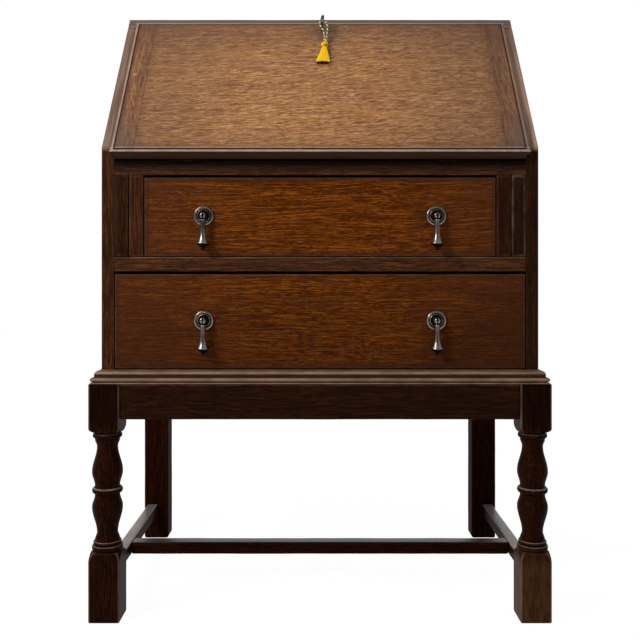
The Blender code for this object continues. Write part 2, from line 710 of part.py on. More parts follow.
def make_key(lock, panel):
    """The key on its turning axis, with its bow edge-on to the front, and the keyhole it goes through."""
    turn = axis_empty("key_turn", (0, KEY_RISE, 0), (0, 0, 0), lock)
    bow_middle = FALL_THICKNESS + KEY_BOW_HEIGHT
    shank_end = bow_middle - KEY_BOW_RADIUS
    key = piece(
        "key",
        turned_mesh("key", [(KEY_SHANK_RADIUS, KEY_TIP), (KEY_SHANK_RADIUS, shank_end)], SMALL_SIDES),
        STEEL,
        turn,
    )
    collar_low = FALL_THICKNESS + RUNNING_GAP
    collar = [(KEY_COLLAR_RADIUS, collar_low), (KEY_COLLAR_RADIUS, collar_low + KEY_COLLAR_LENGTH)]
    combine(key, "UNION", helper("key_collar", turned_mesh("key_collar", collar, SMALL_SIDES), turn))
    bit_half = KEY_BIT_THICKNESS / 2
    join_box(
        key,
        "key_bit",
        (-bit_half, -KEY_BIT_LENGTH, KEY_TIP + FIT_GAP),
        (bit_half, 0, KEY_TIP + FIT_GAP + KEY_BIT_WIDTH),
        turn,
    )
    wire = circle(KEY_BOW_WIRE, 0, SMALL_SIDES)
    bow = []
    for around in circle(1, 0, PLATE_SIDES):
        out = Vector((0, around.x, around.y))
        centre = Vector((0, 0, bow_middle)) + KEY_BOW_RADIUS * out
        bow.append([centre + point.x * out + Vector((point.y, 0, 0)) for point in wire])
    combine(key, "UNION", helper("key_bow", rings_mesh("key_bow", bow, closed=True), turn))

    hole_radius = KEY_SHANK_RADIUS + 2 * FIT_GAP
    hole = [(hole_radius, -LOCK_DEPTH), (hole_radius, 2 * FALL_THICKNESS)]
    combine(panel, "DIFFERENCE", helper("keyhole", turned_mesh("keyhole", hole, SMALL_SIDES), turn))
    cut_box(
        panel,
        "keyhole_slot",
        (-bit_half - 2 * FIT_GAP, -KEY_BIT_LENGTH - 2 * FIT_GAP, -LOCK_DEPTH),
        (bit_half + 2 * FIT_GAP, 0, 2 * FALL_THICKNESS),
        turn,
    )
    return turn


def smooth_route(points, steps):
    """Points along a smooth curve through chosen points."""
    padded = [2 * points[0] - points[1], *points, 2 * points[-1] - points[-2]]
    route = []
    for before, start, end, after in zip(padded, padded[1:], padded[2:], padded[3:]):
        for step in range(steps):
            t = step / steps
            route.append(
                start
                + (end - before) * t / 2
                + (2 * before - 5 * start + 4 * end - after) * t**2 / 2
                + (3 * start - before - 3 * end + after) * t**3 / 2
            )
    return route + [points[-1]]


def make_tassel(turn):
    """The silk tassel, hung on the key's bow by a loop of cord and lying a little askew on the slope."""
    bow_inside = KEY_BOW_RADIUS - KEY_BOW_WIRE
    hang_rise = CORD_RADIUS + FIT_GAP - bow_inside
    hang_out = FALL_THICKNESS + KEY_BOW_HEIGHT
    swing = axis_empty("tassel_swing", (0, hang_rise, hang_out), (0, 0, 0), turn)
    axis_drop = FALL_THICKNESS + TASSEL_HEAD_RADIUS + 2 * FIT_GAP - hang_out
    head_top = -CORD_LOOP_LENGTH

    half = CORD_LOOP_HALF_WIDTH
    strand = CORD_RADIUS + FIT_GAP
    route = [
        Vector((strand, head_top + FIT_GAP, axis_drop)),
        Vector((1.2 * strand, 0.82 * head_top, 0.93 * axis_drop)),
        Vector((0.75 * half, 0.50 * head_top, 0.60 * axis_drop)),
        Vector((half, 0.20 * head_top, 0.20 * axis_drop)),
        Vector((0.90 * half, -0.35 * half, 0.04 * axis_drop)),
    ]
    mirrored = [Vector((-point.x, point.y, point.z)) for point in reversed(route)]
    points = smooth_route(route + [Vector((0, 0, 0))] + mirrored, 3)
    points = [point + Vector((TASSEL_LEAN * point.y / head_top, 0, 0)) for point in points]
    cord = bpy.data.curves.new("tassel_cord", "CURVE")
    cord.dimensions = "3D"
    cord.bevel_depth = CORD_RADIUS
    cord.bevel_resolution = 2
    cord.use_fill_caps = True
    spline = cord.splines.new("POLY")
    spline.points.add(len(points) - 1)
    for spot, point in zip(spline.points, points):
        spot.co = (*point, 1)
    piece("tassel_cord", cord, GOLD_SILK, swing)

    head_end = TASSEL_HEAD_LENGTH
    skirt_end = head_end + TASSEL_SKIRT_LENGTH
    levels = []
    for share in (0.04, 0.2, 0.5, 0.8, 1.0):
        swell = math.sin(math.pi * (0.08 + 0.80 * share))
        levels.append((share * head_end, swell * TASSEL_HEAD_RADIUS, swell * TASSEL_HEAD_RADIUS))
    for share in (0.0, 0.25, 0.5, 0.75, 1.0):
        spread = share**0.8
        wide = TASSEL_NECK_RADIUS + (TASSEL_SKIRT_HALF_WIDTH - TASSEL_NECK_RADIUS) * spread
        deep = TASSEL_NECK_RADIUS + (TASSEL_SKIRT_HALF_THICKNESS - TASSEL_NECK_RADIUS) * spread
        levels.append((head_end + RUNNING_GAP + share * (skirt_end - head_end), wide, deep))
    rings = []
    for down, wide, deep in levels:
        middle = Vector((TASSEL_LEAN * (1 - 0.7 * down / skirt_end), head_top - down, axis_drop))
        around = circle(wide, 0, DROP_SIDES, deep / wide)
        rings.append([middle + Vector((point.x, 0, point.y)) for point in around])
    piece("tassel", rings_mesh("tassel", rings), GOLD_SILK, swing)


def make_handle(label, drawer, front, x):
    """A pear-drop handle: a turned plate with a slotted post, and the drop that swings on the post's pin."""
    upright = (math.pi / 2, 0, 0)
    mount = axis_empty(f"handle_axis_{label}", (x, 0, 0), upright, drawer)
    rim_inner = PLATE_RADIUS - PLATE_RIM_WIDTH
    dish = PLATE_THICKNESS + 0.5 * PLATE_RIM_HEIGHT
    shank_tip = -DRAWER_FRONT_THICKNESS - SHANK_PAST_FRONT
    profile = [(SHANK_RADIUS, shank_tip), (SHANK_RADIUS, FIT_GAP), (PLATE_RADIUS, FIT_GAP)]
    profile += [(PLATE_RADIUS, PLATE_THICKNESS)]
    for turn in (35, 90, 145):
        angle = math.radians(turn)
        out = PLATE_RADIUS - PLATE_RIM_WIDTH * (1 - math.cos(angle)) / 2
        profile.append((out, PLATE_THICKNESS + PLATE_RIM_HEIGHT * math.sin(angle)))
    profile += [(rim_inner, PLATE_THICKNESS), ((rim_inner + POST_RADIUS) / 2, PLATE_THICKNESS)]
    profile += [(1.25 * POST_RADIUS, dish), (POST_RADIUS, 2 * dish), (POST_RADIUS, POST_END - POST_DOME)]
    profile += [(0.80 * POST_RADIUS, POST_END - 0.4 * POST_DOME), (0.4 * POST_RADIUS, POST_END)]
    plate = piece(f"handle_plate_{label}", turned_mesh("plate", profile, PLATE_SIDES), ANTIQUE_BRASS, mount)
    slot_half = EYE_THICKNESS / 2 + FIT_GAP
    eye_room = EYE_RADIUS + 2 * FIT_GAP
    cut_box(
        plate,
        f"post_slot_{label}",
        (-slot_half, -2 * POST_RADIUS, PIVOT_STANDOFF - eye_room),
        (slot_half, eye_room, 2 * POST_END),
        mount,
    )
    swing = axis_empty(f"handle_swing_{label}", (0, 0, PIVOT_STANDOFF), (0, 0, 0), mount)
    pin_half = (slot_half + POST_RADIUS) / 2
    pin = cylinder_mesh(f"post_pin_{label}", HANDLE_PIN_RADIUS, -pin_half, pin_half)
    combine(plate, "UNION", helper(f"post_pin_{label}", pin, swing))

    stem = 0.45 * EYE_THICKNESS
    eye_edge = 0.8 * EYE_RADIUS
    collar = EYE_RADIUS + POST_RADIUS
    down = [(stem, eye_edge), (stem, collar - DROP_COLLAR_RADIUS / 2)]
    down += [(DROP_COLLAR_RADIUS, collar), (DROP_NECK_RADIUS, collar + DROP_COLLAR_RADIUS / 2)]
    flare_start = collar + DROP_COLLAR_RADIUS
    for share in (0.0, 0.3, 0.55, 0.75, 0.9, 1.0):
        out = DROP_NECK_RADIUS + (DROP_BELL_RADIUS - DROP_NECK_RADIUS) * share**2.2
        down.append((out, flare_start + share * (DROP_BELL_END - flare_start)))
    tip = DROP_LENGTH - DROP_TIP_RADIUS
    down += [(0.9 * DROP_BELL_RADIUS, DROP_BELL_END + 0.15 * DROP_BELL_RADIUS)]
    down += [(0.45 * DROP_BELL_RADIUS, DROP_BELL_END + 0.45 * DROP_BELL_RADIUS)]
    down += [(0.6 * DROP_TIP_RADIUS, tip - 0.8 * DROP_TIP_RADIUS), (DROP_TIP_RADIUS, tip)]
    down += [(0.7 * DROP_TIP_RADIUS, tip + 0.7 * DROP_TIP_RADIUS), (0.2 * DROP_TIP_RADIUS, DROP_LENGTH)]
    rings = [
        [Vector((p.x, -below, p.y)) for p in circle(radius, 0, DROP_SIDES)] for radius, below in down
    ]
    drop = piece(f"handle_drop_{label}", rings_mesh("drop", rings), ANTIQUE_BRASS, swing)
    eye_half = EYE_THICKNESS / 2
    eye = cylinder_mesh(f"eye_{label}", EYE_RADIUS, -eye_half, eye_half)
    combine(drop, "UNION", helper(f"eye_{label}", eye, swing))
    bore = cylinder_mesh(f"eye_bore_{label}", HANDLE_PIN_RADIUS + FIT_GAP, -EYE_THICKNESS, EYE_THICKNESS)
    combine(drop, "DIFFERENCE", helper(f"eye_bore_{label}", bore, swing))

    hole = [(SHANK_RADIUS + FIT_GAP, 2 * shank_tip), (SHANK_RADIUS + FIT_GAP, -shank_tip)]
    combine(front, "DIFFERENCE", helper(f"shank_hole_{label}", turned_mesh("hole", hole, SMALL_SIDES), mount))


def make_drawer(label, opening_half, bottom, opening_height):
    """A drawer box in its opening, on an empty at the middle of its front."""
    slide = axis_empty(f"{label}_slide", (0, CASE_FRONT, bottom + opening_height / 2))
    half = opening_half - DRAWER_SIDE_GAP
    low = RUNNING_GAP - opening_height / 2
    high = opening_height / 2 - DRAWER_TOP_GAP
    inner = half - DRAWER_SIDE_THICKNESS
    behind_front = DRAWER_FRONT_THICKNESS + FIT_GAP
    rear = BOARD_BACK - CASE_FRONT - DRAWER_BACK_CLEARANCE
    side_top = high - DRAWER_SIDE_DROP
    floor_low = low + DRAWER_BOTTOM_RAISE
    floor_high = floor_low + DRAWER_BOTTOM_THICKNESS
    front = board(
        f"{label}_front", (-half, 0, low), (half, DRAWER_FRONT_THICKNESS, high), DRAWER_OAK, slide
    )
    for side, sign in (("left", -1), ("right", 1)):
        ends = sorted((sign * inner, sign * half))
        board(
            f"{label}_side_{side}",
            (ends[0], behind_front, low),
            (ends[1], rear, side_top),
            INNER_OAK,
            slide,
        )
    width = inner - FIT_GAP
    board(f"{label}_bottom", (-width, behind_front, floor_low), (width, rear, floor_high), INNER_OAK, slide)
    board(
        f"{label}_back",
        (-width, rear - DRAWER_SIDE_THICKNESS, floor_high + FIT_GAP),
        (width, rear, side_top - DRAWER_BACK_DROP),
        INNER_OAK,
        slide,
    )
    for side, sign in (("left", -1), ("right", 1)):
        make_handle(f"{label}_{side}", slide, front, sign * (INNER_HALF - HANDLE_FROM_SIDE))


def make_lopers():
    """The two pull-out supports for the open fall."""
    thickness = LOPER_SLOT - 2 * RUNNING_GAP
    inner = PARTITION_OUTER + RUNNING_GAP
    front = CASE_FRONT - LOPER_PROUD
    for side, sign in (("left", -1), ("right", 1)):
        ends = sorted((sign * inner, sign * (inner + thickness)))
        board(
            f"loper_{side}",
            (ends[0], front, DIVIDER_TOP + FIT_GAP),
            (ends[1], front + LOPER_LENGTH, BED_BOTTOM - FIT_GAP),
            CASE_OAK,
        )


def make_pigeonholes():
    """A shelf across the back of the desk, on upright dividers."""
    width = INNER_HALF - FIT_GAP
    front = BOARD_BACK - SHELF_DEPTH
    shelf_low = BED_TOP + SHELF_RISE
    board(
        "pigeonhole_shelf",
        (-width, front, shelf_low),
        (width, BOARD_BACK, shelf_low + SHELF_THICKNESS),
        INNER_OAK,
    )
    for index in range(DIVIDER_COUNT):
        x = INNER_HALF * (2 * (index + 1) / (DIVIDER_COUNT + 1) - 1)
        board(
            f"pigeonhole_divider_{index + 1}",
            (x - SHELF_THICKNESS / 2, front, BED_TOP + FIT_GAP),
            (x + SHELF_THICKNESS / 2, BOARD_BACK, shelf_low - FIT_GAP),
            INNER_OAK,
        )


def build():
    """Make the whole bureau at rest: fall closed, drawers and lopers in, key unturned."""
    clear_scene()
    make_legs()
    make_stand_rails()
    top, bed = make_case()
    make_mouldings()
    hinge = axis_empty("fall_hinge", (0, CASE_FRONT, BED_TOP), (FALL_SLOPE, 0, 0))
    panel = make_fall(hinge)
    make_hinges(hinge, panel, bed)
    lock = axis_empty("lock_middle", (LOCK_OFFSET, 0, 0), (0, 0, 0), hinge)
    make_lock(lock, panel, top)
    make_tassel(make_key(lock, panel))
    make_drawer("upper_drawer", PARTITION_INNER, DIVIDER_TOP, UPPER_OPENING)
    make_drawer("lower_drawer", INNER_HALF, FLOOR_TOP, LOWER_OPENING)
    make_lopers()
    make_pigeonholes()


build()
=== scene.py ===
# %% [markdown]
# # A slant-front writing bureau in dark oak
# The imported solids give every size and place. This lesson dresses them: boards with softened and
# rubbed edges, turned legs, drop handles, a silk tassel, and the woods and metals they are made of.
# Each new piece is a surface worked out as an array of points, so its shape can be read as a formula.

# %% Load the fixed frame
import json
import math

import bpy
import numpy as np
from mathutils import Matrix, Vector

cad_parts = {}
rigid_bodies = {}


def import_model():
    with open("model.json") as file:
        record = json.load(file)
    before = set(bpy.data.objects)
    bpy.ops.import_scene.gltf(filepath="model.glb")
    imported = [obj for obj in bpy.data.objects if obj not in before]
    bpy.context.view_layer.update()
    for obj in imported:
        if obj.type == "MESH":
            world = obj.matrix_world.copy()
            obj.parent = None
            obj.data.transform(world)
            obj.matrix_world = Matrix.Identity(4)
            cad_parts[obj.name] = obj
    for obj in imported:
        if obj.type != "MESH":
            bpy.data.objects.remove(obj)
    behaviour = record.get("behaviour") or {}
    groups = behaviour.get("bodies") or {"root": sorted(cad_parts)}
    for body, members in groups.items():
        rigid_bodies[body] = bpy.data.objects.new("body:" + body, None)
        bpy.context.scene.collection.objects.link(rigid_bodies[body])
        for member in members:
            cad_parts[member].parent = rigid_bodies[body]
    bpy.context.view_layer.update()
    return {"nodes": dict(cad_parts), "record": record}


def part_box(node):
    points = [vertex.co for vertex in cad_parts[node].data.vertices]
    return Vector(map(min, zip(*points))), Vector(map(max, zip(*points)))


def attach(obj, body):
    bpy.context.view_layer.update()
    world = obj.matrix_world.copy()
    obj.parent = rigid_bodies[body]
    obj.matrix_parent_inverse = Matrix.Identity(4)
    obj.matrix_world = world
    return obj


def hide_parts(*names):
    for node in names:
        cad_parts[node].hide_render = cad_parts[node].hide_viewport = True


for old in list(bpy.data.objects):
    bpy.data.objects.remove(old, do_unlink=True)
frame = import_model()
RECORD = frame["record"]
BODY_OF = {node: body for body, nodes in RECORD["behaviour"]["bodies"].items() for node in nodes}
JOINTS = {joint["name"]: joint for joint in RECORD["behaviour"]["joints"]}

# %% [markdown]
# ## Camera
# The photograph looks straight at the front from a little above the lower drawer, so the uprights stay
# upright. A level camera with a vertical shift does that, as a view camera does; tilting it instead
# would make the legs converge. The shift is only what the framing needs.

# %% Camera
camera_data = bpy.data.cameras.new("camera")
camera_data.sensor_width = 36
camera_data.lens = 45.34
camera_data.shift_y = -0.0766
camera = bpy.data.objects.new("camera", camera_data)
bpy.context.scene.collection.objects.link(camera)
camera.location = (0, -1.5376, 0.571)
camera.rotation_euler = (math.pi / 2, 0, 0)
bpy.context.scene.camera = camera
bpy.context.scene.view_settings.view_transform = "Standard"

# %% [markdown]
# ## Two small helpers for shaders
# A colour is picked on a screen as an sRGB hex code, while the renderer counts light, so one function
# turns the code to linear numbers. Another adds a node, sets it up and links it; every material below is
# a list of such calls, which reads from the pattern's coordinates down to the shader.


# %% Shader helpers
def linear(code):
    """The linear colour of an sRGB hex code: the inverse of the screen's curve on each channel."""
    srgb = np.array([int(code[at : at + 2], 16) for at in (1, 3, 5)]) / 255
    light = np.where(srgb <= 0.04045, srgb / 12.92, ((srgb + 0.055) / 1.055) ** 2.4)
    return (*light, 1.0)


def add(tree, kind, inputs=(), out=0, **settings):
    """Adds one node with its settings, links or fills its inputs, and hands back one of its outputs."""
    node = tree.nodes.new("ShaderNode" + kind)
    for key, value in settings.items():
        setattr(node, key, value)
    for key, value in dict(inputs).items():
        if isinstance(value, bpy.types.NodeSocket):
            tree.links.new(value, node.inputs[key])
        else:
            node.inputs[key].default_value = value
    return node.outputs[out] if len(node.outputs) else node


def new_tree(name):
    """An empty node material and its tree."""
    material = bpy.data.materials.new(name)
    material.use_nodes = True
    material.node_tree.nodes.clear()
    return material, material.node_tree


print("white in linear light:", linear("#ffffff"))

# %% [markdown]
# ## Studio
# The photograph was taken in a white studio with the room dark behind the camera, and cut out on white.
# The camera sees plain white all round, and reflections see it only ahead, behind the bureau. All other
# light comes softly from above and behind, and little from the front, so the fronts stay deep and the flat
# tops of the stretchers shine. One lamp high on the left models the turnings and throws the handles'
# shadows down to the right.

# %% Studio
world = bpy.data.worlds.new("white studio")
bpy.context.scene.world = world
world.use_nodes = True
sky = world.node_tree
sky.nodes.clear()
path = sky.nodes.new("ShaderNodeLightPath").outputs
look = add(sky, "TexCoord", out=0)
mirrored = add(sky, "Math", {0: path["Is Glossy Ray"], 1: path["Is Transmission Ray"]}, operation="MAXIMUM")
ahead = add(sky, "VectorMath", {0: look, 1: (0.0, 1.0, 0.0)}, out=1, operation="DOT_PRODUCT")
backdrop = add(sky, "MapRange", {0: ahead, 1: -0.25, 2: 0.15}, interpolation_type="SMOOTHSTEP")
backdrop = add(sky, "Math", {0: backdrop, 1: mirrored}, operation="MULTIPLY")
backdrop = add(sky, "Math", {0: backdrop, 1: path["Is Camera Ray"]}, operation="MAXIMUM")
toward = add(sky, "VectorMath", {0: look, 1: (0.0, 0.75, 0.80)}, out=1, operation="DOT_PRODUCT")
room = add(sky, "MapRange", {0: toward, 1: -0.5, 2: 0.6, 3: 0.03, 4: 0.72}, interpolation_type="SMOOTHSTEP")
light = add(sky, "Mix", {0: backdrop, 2: room, 3: 1.0})
glow = add(sky, "Background", {"Color": (1, 1, 1, 1), "Strength": light})
add(sky, "OutputWorld", {"Surface": glow})


def soft_lamp(name, place, aim, size, watts):
    """A square area lamp at a place, turned to shine at a point."""
    data = bpy.data.lights.new(name, "AREA")
    data.size = size
    data.energy = watts
    lamp = bpy.data.objects.new(name, data)
    bpy.context.scene.collection.objects.link(lamp)
    lamp.location = place
    lamp.rotation_euler = (lamp.location - type(lamp.location)(aim)).to_track_quat("Z", "Y").to_euler()
    return lamp


soft_lamp("key_lamp", (-1.6, -1.4, 1.95), (0, -0.1, 0.7), 0.7, 42)
soft_lamp("fill_lamp", (1.8, -2.0, 1.2), (0, -0.1, 0.6), 1.4, 2.5)
print("white studio with two soft lamps")

# %% [markdown]
# ## Floor
# A plain pale floor. To the camera and in reflections it is nearly as white as the backdrop, and the
# share of plain diffuse paint that is left keeps a faint shadow under the feet.


# %% Floor
def rectangle(low, high):
    """The four corners of a rectangle between two opposite ones, anticlockwise."""
    return np.array([(low[0], low[1]), (high[0], low[1]), (high[0], high[1]), (low[0], high[1])])


FLOOR_HALF, FLOOR_Z = 6.0, -0.0004
sheet = rectangle((-FLOOR_HALF, -FLOOR_HALF), (FLOOR_HALF, FLOOR_HALF))
floor_mesh = bpy.data.meshes.new("floor")
floor_mesh.from_pydata([(*corner, FLOOR_Z) for corner in sheet], [], [(0, 1, 2, 3)])
floor = bpy.data.objects.new("floor", floor_mesh)
bpy.context.scene.collection.objects.link(floor)
white_paint, tree = new_tree("white_painted_floor")
path = tree.nodes.new("ShaderNodeLightPath").outputs
shown = add(tree, "Math", {0: path["Is Camera Ray"], 1: path["Is Glossy Ray"]}, operation="MAXIMUM")
shown = add(tree, "Math", {0: shown, 1: path["Is Transmission Ray"]}, operation="MAXIMUM")
share = add(tree, "Math", {0: shown, 1: 0.9}, operation="MULTIPLY")
paint = add(tree, "BsdfDiffuse", {"Color": linear("#cccccc")})
paper = add(tree, "Emission", {"Color": (1, 1, 1, 1), "Strength": 1.075})
add(tree, "OutputMaterial", {"Surface": add(tree, "MixShader", {0: share, 1: paint, 2: paper})})
floor_mesh.materials.append(white_paint)
print("floor", white_paint.name)

# %% [markdown]
# ## Oak
# Every board is oak, stained dark and waxed, so one recipe serves them all with other tones. Long streaks
# are the growth rings cut lengthways, short dark dashes are the open pores, and the light flecks on the
# fall are medullary rays, which show when the log is sawn in quarters. Handling rubs the stain off the
# arrises, so each board carries a mark of how near the edge is. A photograph of wood would repeat
# itself and could not follow the boards; noise stretched along the grain follows each one.

# %% Directions of the grain
SLOPE = math.radians(54)
HINGE = np.array(JOINTS["fall_hinge"]["pos_m"])
# The fall's own directions: along its hinge, up its slope and out of it.
RIGHT = np.array([1.0, 0, 0])
UP = np.array([0, math.cos(SLOPE), math.sin(SLOPE)])
OUT = np.array([0, -math.sin(SLOPE), math.cos(SLOPE)])
QUARTER = math.pi / 2
# Turns that bring the grain to the first axis, for boards along X, Y and Z and for the sloping fall.
GRAIN = {
    "X": (0, 0, 0),
    "Y": (0, 0, -QUARTER),
    "Z": (0, QUARTER, 0),
    "fall": (-SLOPE, 0, -0.06),
    "fall_up": (-SLOPE, 0, -QUARTER),
}
print("oak along", ", ".join(GRAIN))


# %% Stretched noise and stains
def stretched(tree, where, lengths, detail, rough=0.5):
    """Noise drawn out to a length in millimetres along each axis: the place is times 1000 / length."""
    scaled = {0: where, 1: tuple(1000 / length for length in lengths)}
    scaled = add(tree, "VectorMath", scaled, operation="MULTIPLY")
    return add(tree, "TexNoise", {"Vector": scaled, "Scale": 1, "Detail": detail, "Roughness": rough})


def lay(tree, colour, masks, curve="SMOOTHSTEP"):
    """Stains a colour with one mask after another.

    Each mixes in its tone by a share that grows from 0 to its amount as its value goes from start to end.
    """
    for value, start, end, tone, amount in masks:
        share = {0: value, 1: start, 2: end, 3: 0.0, 4: amount}
        share = add(tree, "MapRange", share, interpolation_type=curve)
        colour = add(tree, "Mix", {0: share, 6: colour, 7: linear(tone)}, out=2, data_type="RGBA")
    return colour


print("noise and stains ready")


# %% The oak recipe
def oak(name, grain, tones, rubbed, wear, rough, shine, ray=0.0, tone=None, long=1.0, fine=1.0):
    """Stained and waxed oak: the middle tone is mixed in turn with layers of noise stretched along the grain.

    A layer covers the share of the surface where its noise is high, and takes the deep or the light tone.
    Lengths are in millimetres along and across the grain. Real pores are a third as wide as drawn here;
    thinner ones would not show. Near an arris the rubbed tone comes through. On the boards and the legs'
    blocks it is worn stain. On the fall's bead and the mouldings it is partly wear and partly a painted
    highlight, and on the tops of the legs' rings it is a painted highlight. The quirk mark lays painted shade
    in grooves, on edge faces turned down, in the hollow under the fall and under the moulding's torus.
    """
    deep, body, light = tones
    material, tree = new_tree(name)
    place = add(tree, "TexCoord", out=3)
    turned = add(tree, "Mapping", {"Vector": place, "Rotation": GRAIN[grain]})
    plank = add(tree, "Attribute", out=2, attribute_name="plank")
    plank = add(tree, "CombineXYZ", {0: plank, 1: plank, 2: plank})
    own = add(tree, "VectorMath", {0: plank, 1: (1.7, 3.1, 2.3), 2: turned}, operation="MULTIPLY_ADD")
    slow = add(tree, "VectorMath", {0: own, 1: (5, 13, 13)}, operation="MULTIPLY")
    slow = add(tree, "TexNoise", {"Vector": slow, "Scale": 1, "Detail": 2}, out=1)
    slow = add(tree, "VectorMath", {0: slow, 1: (0.5, 0.5, 0.5)}, operation="SUBTRACT")
    wavy = add(tree, "VectorMath", {0: slow, 1: (0, 0.026, 0.026), 2: own}, operation="MULTIPLY_ADD")
    slant = add(tree, "Mapping", {"Vector": wavy, "Rotation": (0, 0, -0.13)})
    # Where the noise lies, its length, width and detail, then from, to, tone and amount of its mask.
    layers = [
        (wavy, 230, 42, 2, 0.40, 0.64, deep, 0.32),
        (wavy, 80 * long, 2.4 * fine, 4, 0.44, 0.62, light, 0.75),
        (wavy, 45 * long, 1.8 * fine, 3, 0.48, 0.62, deep, 0.80),
        (slant, 34 * long, 2.7 * fine, 2, 0.50, 0.61, light, ray),
    ]
    masks = []
    for where, along, across, detail, *mask in layers:
        masks.append((stretched(tree, where, (along, across, across), detail, 0.6), *mask))
    colour = lay(tree, linear(body), masks)
    pores = stretched(tree, wavy, (11, 1.3, 1.3), 1, 0.6)
    pores = {0: pores, 1: 0.52, 2: 0.63, 3: 0.0, 4: 0.55 + 0.35 * ray}
    pores = add(tree, "MapRange", pores, interpolation_type="SMOOTHSTEP")
    colour = add(tree, "Mix", {0: pores, 6: colour, 7: linear(deep)}, out=2, data_type="RGBA")
    if tone:
        colour = tone(tree, place, colour)
    # The rubbed tone: worn stain at the arrises of boards, and a painted highlight on the fall's bead, the
    # mouldings and the legs' rings.
    arris = add(tree, "Attribute", out=2, attribute_name="arris")
    arris = add(tree, "MapRange", {0: arris, 1: 0.80, 2: 1.0}, interpolation_type="SMOOTHSTEP")
    chafe = stretched(tree, own, (30, 10, 10), 4)
    chafe = add(tree, "MapRange", {0: chafe, 1: 0.36, 2: 0.62, 3: 0.65 * wear**2, 4: wear})
    worn = add(tree, "Math", {0: arris, 1: chafe}, operation="MULTIPLY")
    # The quirk mark is painted shade: grooves, faces turned down and hollows take a near-black brown.
    quirk = add(tree, "Attribute", out=2, attribute_name="quirk")
    marks = [(worn, 0.0, 1.0, rubbed, 1.0), (quirk, 0.0, 1.0, "#36200f", 0.93)]
    colour = lay(tree, colour, marks, "LINEAR")
    bump = add(tree, "Bump", {"Height": pores, "Strength": 0.25, "Distance": -0.0003})
    inputs = {"Base Color": colour, "Roughness": rough, "Normal": bump, "Specular IOR Level": shine}
    add(tree, "OutputMaterial", {"Surface": add(tree, "BsdfPrincipled", inputs)})
    return material


print("oak recipe ready")

# %% [markdown]
# ## Tones of the fall, the drawers, the slanted edges and the legs, with painted light and shade
# The fall has faded to gold in its middle, where the sun and the hands reach it, and stays purplish brown
# along its borders and where the cleats meet the panel. The drawer fronts are golden brown in the middle and
# redder toward their ends, with painted shade low down and to the right. The slanted edges of the case are
# grey-brown, partly faded and partly a painted sheen. They are lighter on the right, with painted light over
# the lip's shadow, and have a painted shadow beside the lip on the left. A painted shadow blackens the front
# of the bed under the fall, and the right foot is browner. A smooth mask over the board's own
# coordinates carries each change; painting it by hand would tie it to one size.

# %% Tones of the fall
JOINT, FACE_OUT = 0.302, 0.023
ON_FALL = {"Rotation": (-SLOPE, 0, 0), "Location": (0, -float(HINGE @ UP), -float(HINGE @ OUT))}
# Places along X and up the slope where the surface was hurt: a dent, two scratches and a chip, in metres.
HURTS = [(-0.324, 0.185, 0.0030), (0.155, 0.175, 0.0026), (-0.143, 0.145, 0.0026), (-0.035, 0.0015, 0.0050)]


def fall_tone(tree, place, colour):
    """Masks over the fall's own frame, by noise, by place and by distance.

    Redder, greyer and golden patches, dark borders, grimy joints and lock, grey corners, hurts.
    """
    flat = add(tree, "Mapping", {"Vector": place, **ON_FALL})
    along, rise = (add(tree, "SeparateXYZ", {0: flat}, out=at) for at in (0, 1))
    side = add(tree, "Math", {0: along}, operation="ABSOLUTE")
    joint = add(tree, "Math", {0: side, 1: JOINT}, operation="SUBTRACT")
    joint = add(tree, "Math", {0: joint}, operation="ABSOLUTE")
    corner = add(tree, "Math", {0: side, 1: 2.2, 2: -0.42}, operation="MULTIPLY_ADD")
    corner = add(tree, "Math", {0: corner, 1: rise}, operation="SUBTRACT")
    lock = add(tree, "VectorMath", {0: flat, 1: (0.010, 0.300, FACE_OUT)}, out=1, operation="DISTANCE")
    masks = [
        (stretched(tree, flat, (220, 7, math.inf), 4), 0.46, 0.68, "#7d4a38", 0.36),
        (stretched(tree, flat, (60, 14, math.inf), 4), 0.50, 0.68, "#75655c", 0.22),
        (stretched(tree, flat, (260, 11, math.inf), 4), 0.48, 0.68, "#b57d40", 0.36),
        (along, JOINT, 0.312, "#6b5347", 0.25),
        (side, 0.06, 0.30, "#5b3f33", 0.42),
        (rise, 0.19, 0.335, "#5a3c31", 0.46),
        (rise, 0.304, 0.322, "#5c4034", 0.30),
        (rise, 0.070, 0.000, "#5f4030", 0.25),
        (along, -0.325, -0.334, "#4a2f20", 0.60),
        (joint, 0.016, 0.002, "#3d2820", 0.22),
        (lock, 0.042, 0.008, "#4c3c3a", 0.45),
        (rise, 0.020, 0.009, "#5a3c2c", 0.35),
        (corner, 0.16, 0.32, "#5f524e", 0.70),
    ]
    for x, up, size in HURTS:
        away = add(tree, "VectorMath", {0: flat, 1: (x, up, FACE_OUT)}, out=1, operation="DISTANCE")
        masks.append((away, 1.8 * size, 0.2 * size, "#c9925c", 0.6))
    return lay(tree, colour, masks)


print(len(HURTS), "marks on the fall")


# %% Tones of the drawers and the bed
def drawer_tone(tree, place, colour):
    """Redder toward a drawer front's ends, by distance along X, with painted shade low down and to the
    right, and a darker rim near the edges."""
    x, height = (add(tree, "SeparateXYZ", {0: place}, out=at) for at in (0, 2))
    side = add(tree, "Math", {0: x}, operation="ABSOLUTE")
    # Painted shade: darker low down and toward the right, where less light reaches.
    lower = add(tree, "Math", {0: height, 1: -1.2, 2: x}, operation="MULTIPLY_ADD")
    rim = add(tree, "Attribute", out=2, attribute_name="arris")
    masks = [
        (side, 0.05, 0.34, "#4d2a19", 0.6),
        (lower, -0.45, -0.25, "#2a1408", 0.3),
        (height, 0.62, 0.42, "#2a1206", 0.4),
        (rim, 0.40, 0.95, "#35211a", 0.6),
    ]
    return lay(tree, colour, masks)


